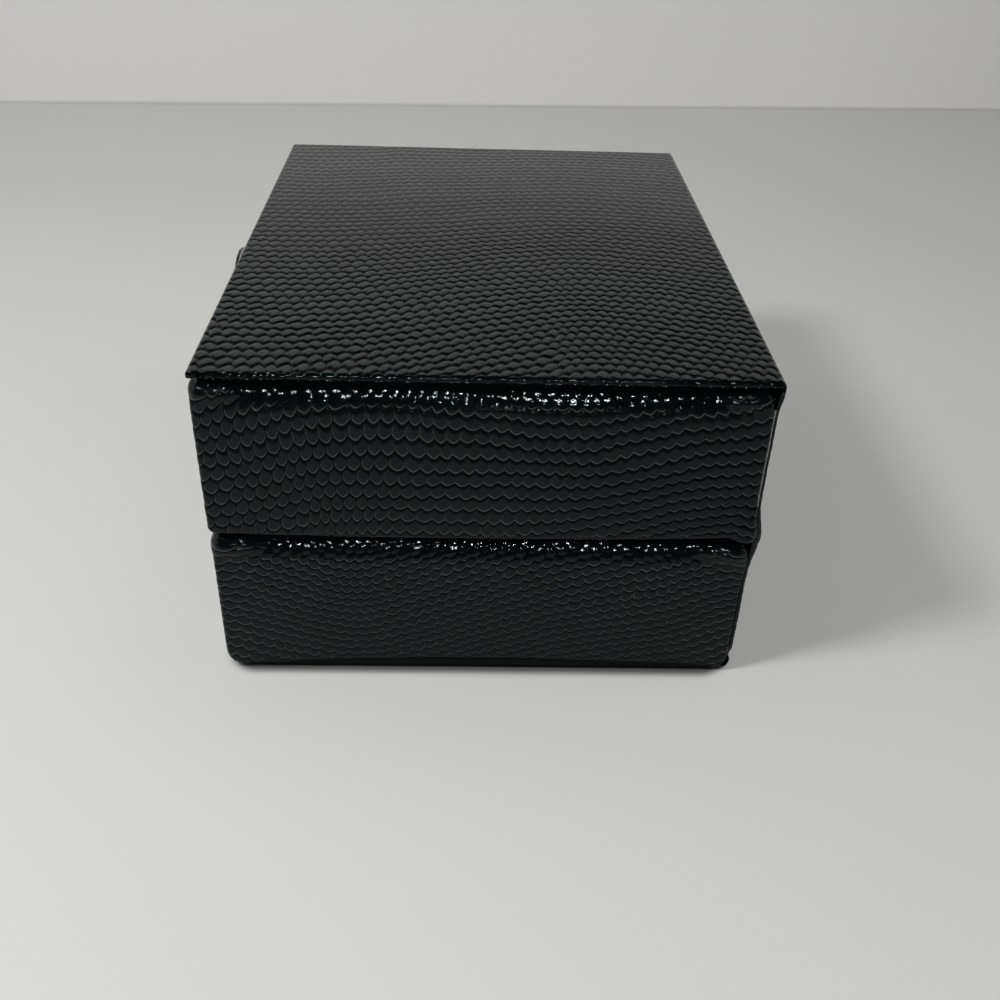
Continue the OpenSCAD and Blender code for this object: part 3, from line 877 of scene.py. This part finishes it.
def leatherette(name, dark, light, slope, groove, depth, domed, painted_rim_sheen):
    """slope: how wide the sunk end of a scale is. groove: heights between which the dull shader goes
    out. depth: the relief's depth in mm. domed: how much rounder a plate is than flat.
    The last argument: how much grey is painted on the scales' rims, a painted reflection of the table."""
    material, nodes, place = new_finish(name)
    grain = nodes.add("ShaderNodeAttribute", {"attribute_name": "grain"}, {}, "Vector")
    weight = nodes.add("ShaderNodeAttribute", {"attribute_name": "emboss"}, {}, "Fac")
    height, dome, luck, rim = scale_relief(*parts_of(grain), 0.17, slope)
    fine = noise(nodes, place, 0.22, 3)
    crease = noise(nodes, place, 0.7)
    broad = noise(nodes, place, 14)
    # rolled edges keep a faint pebble, which the deeper skin has less of
    bare = step_up(weight, 0.0, 0.06) * step_up(weight, 0.3, 0.9, 1, 0) * (0.1 / depth) ** 2
    skin = (height + domed * dome) * weight + bare * (0.38 * dome + 0.2 * crease + 0.06 * fine)
    bump = bumped(nodes, skin + 0.06 * fine + 0.06 * crease, depth)
    # painted shade: the coat is a darker colour low in the relief, in the grooves; the broad noise adds
    # random tone
    colour = mixed(step_up(height * 0.7 + 0.3 * broad, 0.2, 1.0), dark, light)
    # painted reflection: scales' free rims and side walls painted grey, as the table's reflection would light
    # them
    colour = mixed(rim * painted_rim_sheen * step_up(weight, 0.3, 1), colour, RIM_SHEEN_PAINT)
    dull = step_up(weight, 0.2, 0.75)
    rough = 0.06 + dull * (0.11 + 0.04 * (1 - height)) + 0.02 * broad + 0.05 * luck * dull
    plate = nodes.add("ShaderNodeBsdfPrincipled", {}, {
        "Base Color": colour, "Roughness": rough, "Normal": bump, "IOR": 1.28,
        "Specular Tint": (0.88, 1, 0.99, 1)})
    # painted shade: the grooves get a dull, hardly reflecting shader in the darker coat colour
    sunk = nodes.add("ShaderNodeBsdfPrincipled", {}, {
        "Base Color": dark, "Roughness": 0.9, "Specular IOR Level": 0.1})
    share = 0.92 * step_up(height, *groove, 1, 0) * step_up(weight, 0.05, 1)
    blend = nodes.add("ShaderNodeMixShader", {}, {0: share, 1: plate, 2: sunk})
    nodes.add("ShaderNodeOutputMaterial", {}, {"Surface": blend})
    return material


def knit_backing(name, colour):
    """The pale knit that shows where leatherette is cut."""
    material, nodes, place = new_finish(name)
    loops = cells(nodes, place, 0.3125)
    shade = mixed(step_up(loops, 0.1, 0.8), colour, darker(colour, 0.55))
    surface(nodes, {"Base Color": shade, "Roughness": 0.85, "Normal": bumped(nodes, loops, 0.05, 0.6)})
    return material


# %% Three skins, pressed and laid on
COAT = (0.0010, 0.0018, 0.0020, 1), (0.0012, 0.0038, 0.0042, 1)
WALL_SKIN = leatherette(
    "black_leatherette", *COAT, slope=0.3, groove=(0.2, 0.7), depth=0.1, domed=0.3, painted_rim_sheen=0.9)
BASE_SKIN = leatherette(
    "black_leatherette_base", *COAT, slope=0.3, groove=(0.1, 0.5), depth=0.1, domed=0.3, painted_rim_sheen=1.0)
COVER_SKIN = leatherette(
    "black_leatherette_cover", *COAT, slope=0.44, groove=(0.1, 0.52), depth=0.155, domed=0.12, painted_rim_sheen=0.15)
BACKING = knit_backing("grey_backing", (0.44, 0.44, 0.42, 1))
for piece, depth, skin in (
        (lid_wrap, 0.06, WALL_SKIN), (base_wrap, 0.05, BASE_SKIN), (top_panel, 0.07, COVER_SKIN),
        (bottom_panel, 0.05, COVER_SKIN), (spine, 0.05, WALL_SKIN)):
    press(piece, depth, skin, BACKING)

# %% [markdown]
# ## The closure tab
# The tab is a round-ended strap, glued to the lid's front down to a crease and free below it, where
# a magnet meets a steel disc behind the base's covering. It is a board between two skins, pressed
# thin at the crease, so its cut edge shows a paler layer. Rows run up the strap with their half
# width from its outline, and each row is one closed loop round front, edge, back and edge.

# %% Tab strap
def tab_strap(name, half, low, high, front, back, crease, magnet, step):
    """low and high are the heights of its ends, front and back the y of its faces, and crease and
    magnet the heights of the bend and of the disc inside."""
    centres = low + half, high - half
    sweep = np.radians(np.linspace(0, 90, 20))
    heights = np.concatenate([centres[0] - half * np.sin(sweep[::-1]),
                              [z for z, _ in run((centres[0], 0), (centres[1], 0), step)],
                              centres[1] + half * np.sin(sweep[1:])])
    beyond = np.maximum(centres[0] - heights, 0) + np.maximum(heights - centres[1], 0)
    width = np.sqrt(np.maximum(half ** 2 - beyond ** 2, 0))[:, None]
    # each row is a loop: the n points of the front, two of the edge, m of the back and two more
    across = np.linspace(-1, 1, round(2 * half / step) + 1)
    share = np.concatenate([across, [1, 1], across[::-4], [-1, -1]])[None, :]
    n, m = len(across), len(across[::-4])
    place = np.arange(share.size)[None, :]
    x = share * width
    z = heights[:, None] + 0 * x
    # the faces round off at the edge, pinch in at the crease and stand out over the magnet
    inward = np.clip((width - np.abs(x)) / 0.45, 0, 1)
    pinch = np.exp(-((z - crease) / 0.4) ** 2)
    round_off = (1 - inward) ** 2
    disc = 1 - smooth(np.hypot(x, z - magnet), 3.9, 5.2)
    slack = np.sin(np.pi * np.clip((z - crease) / (high - crease), 0, 1))
    outer = front + 0.28 * round_off + 0.4 * pinch - 0.1 * disc - 0.12 * slack
    inner = back - 0.2 * round_off - 0.35 * pinch
    y = np.where(place < n, outer, inner)
    y = np.where((place == n) | (place == n + m + 3), outer + 0.12, y)
    y = np.where((place == n + 1) | (place == n + m + 2), inner - 0.12, y)
    x = x + 1.4 * smooth(z, high - 6.5, high)
    faces = grid_faces(len(heights), share.size, wrap_columns=True)
    marks = [1 if q[0] % share.size in (n, n + m + 2) else 0 for q in faces]
    scale = x / CELL + 0.16 * wander(x, z, 3, 92)
    rows = z / 1.5 + 0.3 * wander(x, z, 7, 91)
    grain = np.stack([scale, rows, 0.5 + 0 * x], -1)
    emboss = np.where(place < n, inward * (1 - 0.8 * pinch), 0.3 * inward)
    points = np.stack([x, y, z], -1)
    return make_piece(name, points.reshape(-1, 3), faces, grain.reshape(-1, 3), emboss.ravel(), marks=marks)


tab_x, tab_y, lower_z = edges_of("tab_sleeve_lower")
_, _, upper_z = edges_of("tab_sleeve_upper")
_, _, magnet_z = edges_of("tab_magnet")
tab = tab_strap("closure_strap", half=tab_x[1], low=lower_z[0], high=upper_z[1], front=tab_y[0],
                back=tab_y[1], crease=(lower_z[1] + upper_z[0]) / 2, magnet=sum(magnet_z) / 2, step=0.27)
print(tab.name, len(tab.data.polygons), "faces", [round(v * 1000, 2) for v in tab.dimensions])

# %% [markdown]
# ## Collar and liner
# The collar is a card frame wrapped in velvet that stands a little above the split and centres the
# lid. The liner is a card frame wrapped in satin inside the lid. Both are the same job as the
# walls' coverings: a rounded section swept round a rounded rectangle. The wrapped edge is a full
# half round, and the fabric wavers slightly where it is glued.

# %% Wrapped card frames
def card_frame(name, plan, path, waver, seed):
    """path: (inset, height) round the section. waver: how far the fabric wanders, in mm."""
    inset, height = (np.repeat(np.array(v)[:, None], len(plan["i"]), 1) for v in zip(*path))
    along, _, _ = column_facts(plan)
    inset = inset + waver * wander(along[None, :], height, 5, seed)
    height = height + waver * wander(along[None, :], height, 9, seed + 1)
    points = band_points(plan, inset, height)
    faces = grid_faces(len(path), len(along), wrap_rows=True, wrap_columns=True)
    return make_piece(name, points.reshape(-1, 3), faces)


def card_path(thick, edge, hem):
    """Up or down one side of a card, round its wrapped edge and back. edge is the wrapped side."""
    sense, r = (1 if edge > hem else -1), thick / 2
    start, stop = edge - sense * r, hem + sense * 0.1
    half_turn = np.radians(np.linspace(0, 180, 9))
    turn = [(r - r * math.cos(a), start + sense * r * math.sin(a)) for a in half_turn]
    up = run((0, stop), (0, start), 1.6)[:-1]
    down = run((thick, start), (thick, stop), 1.6)
    return up + turn + down + [(thick - 0.15, hem), (0.15, hem)]


def frame_plan(node, slim, radius):
    """The plan of a node's card frame, slimmer than its box by a little on each side."""
    (left, right), (front, back), _ = edges_of(node)
    return round_plan((left + slim, right - slim), (front + slim, back - slim), (radius,) * 4, 0.8, 6)


collar = card_frame("velvet_collar", frame_plan("ring_collar", slim=0.05, radius=1.1),
                    card_path(thick=1.05, edge=21.3, hem=3.4), waver=0.04, seed=71)
liner = card_frame("satin_liner", frame_plan("lid_liner", slim=0, radius=1.0),
                   card_path(thick=0.9, edge=22.6, hem=36.6), waver=0.03, seed=75)
for piece in (collar, liner):
    print(piece.name, len(piece.data.polygons), "faces", [round(v * 1000, 2) for v in piece.dimensions])

# %% [markdown]
# ## The hinge tape
# Inside the back wall a strip of woven cloth backs up the spine. Its lower leaf is glued to the
# base and its upper leaf to the lid, which sits further back, so the strip steps across at the
# split. A strip this narrow is quickest as a section swept along X.

# %% Hinge tape strip
def tape_strip(name, half, centre, thick, step):
    """half: half its width. centre: (y, z) along the middle of its section, from end to end."""
    line = np.array(centre[:1] + sum((run(a, b, step) for a, b in zip(centre, centre[1:])), []))
    way = np.gradient(line, axis=0)
    way /= np.linalg.norm(way, axis=1)[:, None]
    side = np.stack([-way[:, 1], way[:, 0]], 1) * thick / 2
    loop = np.concatenate([line + side, (line - side)[::-1]])
    across = np.linspace(-half, half, round(half) + 1)
    ripple = 0.03 * wander(across[:, None], loop[None, :, 1], 4, 83)
    points = np.stack([across[:, None] + 0 * ripple, loop[:, 0] + ripple, loop[:, 1] + 0 * ripple], -1)
    faces = grid_faces(len(across), len(loop), wrap_columns=True)
    faces += [list(range(len(loop)))[::-1], [(len(across) - 1) * len(loop) + k for k in range(len(loop))]]
    length = np.linalg.norm(np.diff(line, axis=0), axis=1).sum()
    return make_piece(name, points.reshape(-1, 3), faces), length


tape, tape_length = tape_strip(
    "hinge_tape", half=32, centre=[(27.225, 12.05), (27.225, 18.3), (27.6, 19.9), (27.6, 22.4)],
    thick=0.22, step=0.45)
print(tape.name, "flat length", round(tape_length, 2), "mm")

# %% [markdown]
# ## Ring rolls and lid pad
# The rolls are foam bars pulled tight in velvet, and the pad is foam under satin. Fabric over foam
# swells between its held edges, which a cloth simulation gives: a remeshed copy of the foam is
# blown up a little with no gravity, and no point may move further than a cap. Cloth behaves best
# at the size of a cushion, so the copy is simulated twenty times larger and brought back.

# %% Plumping foam
CUSHION = 20.0
PRESSURE = 4.0
SETTLING = 20


def enlarged_copy(name, foam):
    """A welded copy of a foam node, CUSHION times its size."""
    mesh = bpy.data.objects[foam].data.copy()
    body = bmesh.new()
    body.from_mesh(mesh)
    bmesh.ops.remove_doubles(body, verts=body.verts, dist=1e-6)
    bmesh.ops.recalc_face_normals(body, faces=body.faces)
    bmesh.ops.scale(body, vec=(CUSHION,) * 3, verts=body.verts)
    body.to_mesh(mesh)
    body.free()
    mesh.materials.clear()
    thing = bpy.data.objects.new(name, mesh)
    bpy.context.scene.collection.objects.link(thing)
    return thing


def places(thing):
    """Where a mesh's points are, as rows of x, y and z."""
    return np.array([v.co for v in thing.data.vertices])


def blow_up(thing, glued):
    """Lets the mesh swell as cloth; glued lists the points that stay where they are."""
    group = thing.vertex_groups.new(name="held")
    group.add(glued, 1.0, "REPLACE")
    cloth = thing.modifiers.new("cloth", "CLOTH")
    cloth.settings.vertex_group_mass = "held"
    cloth.settings.use_pressure = True
    cloth.settings.uniform_pressure_force = PRESSURE
    cloth.settings.effector_weights.gravity = 0
    for number in range(1, SETTLING + 1):
        bpy.context.scene.frame_set(number)
    settle(thing, cloth)
    bpy.context.scene.frame_set(1)


def plump(name, foam, cover, voxel, held, skin, cap):
    """foam: the CAD node inside. cover: the node whose box the fabric fills. voxel: the remesh's
    size. held: a test on points in millimetres for the glued side. skin: how far the fabric stands
    off the foam. cap: how far a point may move."""
    thing = enlarged_copy(name, foam)
    remesh = thing.modifiers.new("voxels", "REMESH")
    remesh.mode = "VOXEL"
    remesh.voxel_size = voxel * MM * CUSHION
    settle(thing, remesh)
    start = end = places(thing)
    blow_up(thing, [n for n, p in enumerate(start / CUSHION / MM) if held(p)])
    end = places(thing)
    move = (end - start) / CUSHION / MM
    length = np.linalg.norm(move, axis=1, keepdims=True)
    normal = np.array([v.normal for v in thing.data.vertices])
    points = start / CUSHION / MM + move * np.minimum(1, cap / np.maximum(length, 1e-9)) + skin * normal
    low, high = (np.array(c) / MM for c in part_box(cover))
    thing.data.vertices.foreach_set("co", (np.clip(points, low, high) * MM).ravel())
    finer = thing.modifiers.new("finer", "SUBSURF")
    finer.levels = finer.render_levels = 1
    settle(thing, finer)
    thing.data.polygons.foreach_set("use_smooth", [True] * len(thing.data.polygons))
    thing.data.name = name
    print(name, len(thing.data.polygons), "faces, moved", round(float(length.mean()), 2), "mm on average")
    return thing


ROLL = {"voxel": 1.1, "held": lambda p: p[2] < 5.2, "skin": 0.3, "cap": 0.4}
front_roll = plump("front_roll", "roll_foam_front", "roll_velvet_front", **ROLL)
rear_roll = plump("rear_roll", "roll_foam_rear", "roll_velvet_rear", **ROLL)
lid_pad = plump("lid_pad", "lid_pad_foam", "lid_pad_satin", voxel=1.2, held=lambda p: p[2] > 35.0,
                skin=0.15, cap=0.45)

# %% [markdown]
# ## Fabric, board, foam and metal
# The hidden parts get the finish of what they are made of. Short velvet is dull face on and pale at
# its edges, which is what sheen gives, and its pile lies in soft patches. Satin is a close weave of
# floats with a broad highlight. Greyboard is pulp with flecks, the trays are moulded with a fine
# spark texture, and the steel is nickel plated after polishing.

# %% Velvet and woven cloth
def velvet(name, colour):
    """Short pile that lies in patches."""
    material, nodes, place = new_finish(name)
    pile = noise(nodes, place, 0.13)
    brushed = noise(nodes, place, 6)
    shade = mixed(step_up(0.35 * pile + 0.65 * brushed, 0.35, 0.68), darker(colour, 0.72), colour)
    bump = bumped(nodes, pile + 0.8 * brushed, 0.08, 0.8)
    surface(nodes, {"Base Color": shade, "Roughness": 0.92, "Normal": bump, "Sheen Weight": 0.55,
                    "Sheen Roughness": 0.35, "Sheen Tint": (1.0, 0.96, 0.88, 1), "Specular IOR Level": 0.15})
    return material


def woven(name, colour, pitch, depth, rough, sheen, twill=0.0):
    """A weave of warp and weft threads; twill slants the floats across the warp."""
    material, nodes, place = new_finish(name)
    x, y, z = (part / (pitch * MM) for part in parts_of(place))
    weft = y + z
    warp = maths("SINE", math.pi * 2 * (x + twill * weft))
    cross = maths("SINE", math.pi * 2 * weft)
    threads = 0.25 * (warp + 1) * (cross + 1)
    creases = noise(nodes, place, 9)
    shade = mixed(step_up(threads * 0.5 + creases * 0.5, 0.1, 0.8), darker(colour, 0.8), colour)
    surface(nodes, {"Base Color": shade, "Roughness": rough + 0.12 * creases, "Sheen Weight": sheen,
                    "Normal": bumped(nodes, threads + 3 * creases, depth)})
    return material


FINISHES = {
    "velvet": velvet("cream_velvet", (0.60, 0.52, 0.40, 1)),
    "satin": woven("cream_satin", (0.76, 0.70, 0.60, 1), pitch=0.16, depth=0.012, rough=0.3, sheen=0.15,
                   twill=0.5),
    "hinge_cloth": woven("black_hinge_cloth", (0.025, 0.025, 0.027, 1), pitch=0.3, depth=0.05, rough=0.7,
                         sheen=0.1),
}
print("cloths:", ", ".join(FINISHES))

# %% Board, plastic, foam and metal
def grained(name, colour, other, size, depth, rough):
    """Pulp or spark texture: two colours and a bump from one noise."""
    material, nodes, place = new_finish(name)
    lumps = noise(nodes, place, size, 3)
    broad = noise(nodes, place, size * 12)
    surface(nodes, {"Base Color": mixed(step_up(0.75 * lumps + 0.25 * broad, 0.35, 0.65), colour, other),
                    "Roughness": rough + 0.1 * lumps, "Normal": bumped(nodes, lumps, depth)})
    return material


def foam_cells(name, colour):
    """Open cells: a pale web round holes painted darker, as painted shade in them."""
    material, nodes, place = new_finish(name)
    holes = cells(nodes, place, 1 / 1.9)
    surface(nodes, {"Base Color": mixed(step_up(holes, 0.1, 0.7), darker(colour, 0.5), colour),
                    "Roughness": 0.95, "Normal": bumped(nodes, holes, 0.3)})
    return material


def plated(name, colour):
    """Nickel over steel that was polished one way, so its scratches are long lines."""
    material, nodes, place = new_finish(name)
    drawn = nodes.add("ShaderNodeVectorMath", {"operation": "MULTIPLY"}, {0: place, 1: (1.0, 1.0, 14.0)})
    lines = noise(nodes, drawn, 1 / 0.9, 3)
    surface(nodes, {"Base Color": colour, "Metallic": 1.0, "Roughness": 0.22 + 0.16 * lines,
                    "Normal": bumped(nodes, lines, 0.02, 0.3)})
    return material


FINISHES["greyboard"] = grained(
    "greyboard_pulp", (0.30, 0.28, 0.24, 1), (0.19, 0.18, 0.16, 1), size=0.25, depth=0.02, rough=0.85)
FINISHES["moulded_tray"] = grained(
    "moulded_black", (0.022, 0.022, 0.024, 1), (0.036, 0.036, 0.039, 1), size=0.18, depth=0.015, rough=0.5)
FINISHES["foam"] = foam_cells("open_cell_foam", (0.68, 0.63, 0.50, 1))
FINISHES["plated_steel"] = plated("nickel_plate", (0.60, 0.60, 0.58, 1))
print("all finishes:", ", ".join(FINISHES))

# %% Dressing the inside and the CAD nodes
press(tab, 0.05, WALL_SKIN, BACKING)
for piece, finish in ((collar, "velvet"), (front_roll, "velvet"), (rear_roll, "velvet"), (liner, "satin"),
                      (lid_pad, "satin"), (tape, "hinge_cloth")):
    piece.data.materials.clear()
    piece.data.materials.append(FINISHES[finish])
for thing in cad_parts.values():
    for holder in thing.material_slots:
        holder.material = FINISHES.get(holder.material.name, WALL_SKIN)
print("dressed", len(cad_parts), "CAD nodes")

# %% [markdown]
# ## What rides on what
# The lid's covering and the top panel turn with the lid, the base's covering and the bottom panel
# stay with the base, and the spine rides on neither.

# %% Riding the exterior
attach(lid_wrap, "lid")
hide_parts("lid_wrap")
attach(top_panel, "lid")
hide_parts("cover_upper")
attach(base_wrap, "base")
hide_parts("base_wrap")
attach(bottom_panel, "base")
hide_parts("cover_lower")
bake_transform(spine)
print("the lid carries", lid_wrap.name, top_panel.name, "and the base", base_wrap.name, bottom_panel.name)

# %% Riding the tab and the inside
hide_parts("tab_sleeve_upper", "tab_sleeve_lower")
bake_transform(tab)
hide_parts("hinge_tape_lower", "hinge_tape_upper")
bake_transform(tape)
for piece, body, node, finish in (
        (collar, "base", "ring_collar", "velvet"), (front_roll, "base", "roll_velvet_front", "velvet"),
        (rear_roll, "base", "roll_velvet_rear", "velvet"), (liner, "lid", "lid_liner", "satin"),
        (lid_pad, "lid", "lid_pad_satin", "satin")):
    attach(piece, body)
    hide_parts(node)
print("hinge tape bends between the lid and the base,", round(tape_length, 1), "mm from end to end")

# %% [markdown]
# ## The set
# A pale table and a pale wall behind it. The wall matters more than it seems: the black coat is a
# dull mirror, and what shows on the top is mostly the wall. Both are planes whose paint glows a
# little for the camera and for reflections, which costs the box no light: painted light, stronger up
# the wall and weaker to the right, which is painted shade. The box can't shade a glow, so the glow is
# turned down round the box's foot and black is painted there, a painted contact shadow. The table on
# the viewer's side and the wall's foot are painted darker too, as painted shade.

# %% Paint for the set
# black of the painted contact shadow round the box and of the painted shade at the wall's foot
PAINTED_SHADOW_BLACK = (0.02, 0.02, 0.02, 1)
# grey of the painted shade on the table on the viewer's side
PAINTED_SHADE_GREY = (0.04, 0.04, 0.04, 1)
# the foot of the box in metres: half its sides up to where its corners start, and their radius
FOOT_HALF = (0.0362, 0.0265)
FOOT_ROUND = 0.0025


def plain_finish(name, colour, rough, glow, washed=0.0, shaded=2.0, foot=0.0):
    """Paint that looks a little lighter to the camera and in reflections than its lamps make it, which is
    painted light. washed is how much more it glows higher up, a painted wash of light as on a wall under
    a lamp. shaded is the x from which the table is painted dark grey, painted shade standing for the
    dark room on the viewer's side. foot is how dark the wall's foot is painted, as painted shade."""
    material, nodes, place = new_finish(name)
    x, y, z = parts_of(place)
    cloud = noise(nodes, place, 60, 3)
    seen, mirrored, through = (nodes.add("ShaderNodeLightPath", {}, {}, f"Is {ray} Ray")
                               for ray in ("Camera", "Glossy", "Transmission"))
    light = maths("MAXIMUM", maths("MAXIMUM", seen, mirrored), through)
    # painted light: the glow is stronger up the wall, and weaker to the right, which is painted shade
    light = light * (glow + step_up(z, 0.06, 0.2, 0, washed)) * step_up(y, 0.02, 0.3, 1, 0.7)
    # how far a point lies outside the rounded outline of the box's foot
    past_x, past_y = (maths("MAXIMUM", abs(part) - half, 0) for part, half in zip((x, y), FOOT_HALF))
    clear = (past_x * past_x + past_y * past_y) ** 0.5 - FOOT_ROUND
    # painted contact shadow: the glow fades out at the box's foot, and a little within 30 mm of it
    light = light * step_up(clear, 0.0004, 0.0022) * step_up(clear, 0, 0.03, 0.86, 1)
    # painted shade: past x = shaded, the table turns dark grey, so the box's near walls reflect dark
    near = step_up(x, shaded, shaded + 0.09, 0, 0.9)
    paint = mixed(near, mixed(cloud, colour, darker(colour, 0.97)), PAINTED_SHADE_GREY)
    # painted shade in the corner where the wall meets the table
    painted_foot_shade = foot * step_up(z + 0.0008 * cloud, 0.0004, 0.0018, 1, 0)
    # painted contact shadow: black painted round the box's foot, with the wall foot's painted shade
    paint = mixed(step_up(clear, 0.0002, 0.0016, 0.8, 0) + painted_foot_shade, paint, PAINTED_SHADOW_BLACK)
    surface(nodes, {"Base Color": paint, "Roughness": rough, "Specular IOR Level": 0.2,
                    "Emission Color": paint, "Emission Strength": light})
    return material


TABLE_PAINT = plain_finish("table_top", (0.715, 0.72, 0.69, 1), rough=0.7, glow=0.27, shaded=0.12)
WALL_PAINT = plain_finish("wall_paint", (0.628, 0.622, 0.612, 1), rough=0.8, glow=0.44, washed=0.48, foot=0.3)
print("paints:", TABLE_PAINT.name, WALL_PAINT.name)

# %% Table and wall
WALL_FOOT = ((-0.210, -0.146), (-0.2313, 0.1735))
WALL_TOP = 0.30
TABLE_END = 1.5


def set_plane(name, corners, material):
    """A flat piece of the set, which isn't part of the box."""
    mesh = bpy.data.meshes.new(name)
    mesh.from_pydata(corners, [], [range(4)])
    mesh.materials.append(material)
    plane = bpy.data.objects.new(name, mesh)
    bpy.context.scene.collection.objects.link(plane)


def on_wall(y):
    """The wall isn't quite parallel to the box: its x where it meets the table at y."""
    (x0, y0), (x1, y1) = WALL_FOOT
    return x0 + (y - y0) * (x1 - x0) / (y1 - y0)


(ax, ay), (bx, by) = ((on_wall(y), y) for y in (-TABLE_END, TABLE_END))
set_plane("table", [(ax, ay, 0), (TABLE_END, ay, 0), (TABLE_END, by, 0), (bx, by, 0)], TABLE_PAINT)
set_plane("wall", [(ax, ay, 0), (bx, by, 0), (bx, by, WALL_TOP), (ax, ay, WALL_TOP)], WALL_PAINT)
print("the wall stands", round(-on_wall(0) * 1000), "mm behind the middle of the box")

# %% [markdown]
# ## Light
# A soft lamp from the left models the box and gives it a shadow. A small one from behind the viewer
# only puts a glint on the polished rims, which is what says that they are curved. The rest is the
# room: pale, coming from low down on the far side, and nearly dark overhead and behind the viewer,
# so that the black stays black.

# %% Lights
def soft_lamp(name, at, towards, size, power):
    """A round lamp of a size in metres and a power in watts."""
    lamp = bpy.data.lights.new(name, "AREA")
    lamp.shape = "DISK"
    lamp.size = size
    lamp.energy = power
    thing = bpy.data.objects.new(name, lamp)
    bpy.context.scene.collection.objects.link(thing)
    thing.location = at
    thing.rotation_euler = (Vector(towards) - Vector(at)).to_track_quat("-Z", "Y").to_euler()
    print(name, "lamp:", power, "W,", round(math.dist(at, towards) * 1000), "mm away")


soft_lamp("key", at=(0.099, -0.166, 0.238), towards=(0, 0, 0.02), size=0.06, power=0.388)
soft_lamp("spark", at=(0.49, 0, 0.25), towards=(0.038, 0, 0.03), size=0.025, power=0.66)

# %% Room
world = bpy.data.worlds.new("room")
bpy.context.scene.world = world
world.use_nodes = True
world.node_tree.nodes.clear()
sky = Nodes(world.node_tree)
way = sky.add("ShaderNodeTexCoord", {}, {}, "Generated")
low = step_up(part_of(way, "Z"), 0.45, 0.8, 1, 0)
away = step_up(part_of(way, "X"), -0.2, 0.35, 1, 0.03)
strength = 0.015 + 1.33 * low * away
room = sky.add("ShaderNodeBackground", {}, {"Color": (0.97, 0.98, 1.0, 1), "Strength": strength})
sky.add("ShaderNodeOutputWorld", {}, {"Surface": room})
print("room:", len(world.node_tree.nodes), "nodes")

# %% [markdown]
# ## Camera
# The view is from close by, a little above the box and square to its near side, so the near walls
# loom and the top falls away. It is turned by two degrees about its own axis, as a hand holds it.

# %% Camera
CAMERA_PLACE = (0.1358, -0.00201, 0.09027)
CAMERA_LOOK = (-0.82724, 0.03205, -0.56092)
CAMERA_ROLL = 2.042

lens = bpy.data.cameras.new("camera")
lens.lens = 39.067
lens.sensor_width = 36
lens.clip_start = 0.005
camera = bpy.data.objects.new("camera", lens)
bpy.context.scene.collection.objects.link(camera)
aim = Vector(CAMERA_LOOK).to_track_quat("-Z", "Y").to_matrix().to_4x4()
roll = Matrix.Rotation(math.radians(CAMERA_ROLL), 4, "Z")
camera.matrix_world = Matrix.Translation(CAMERA_PLACE) @ aim @ roll
bpy.context.scene.camera = camera
bpy.context.scene.view_settings.view_transform = "Standard"
print("camera sees", round(math.degrees(lens.angle), 1), "degrees")

# %% End
print("the scene is built")
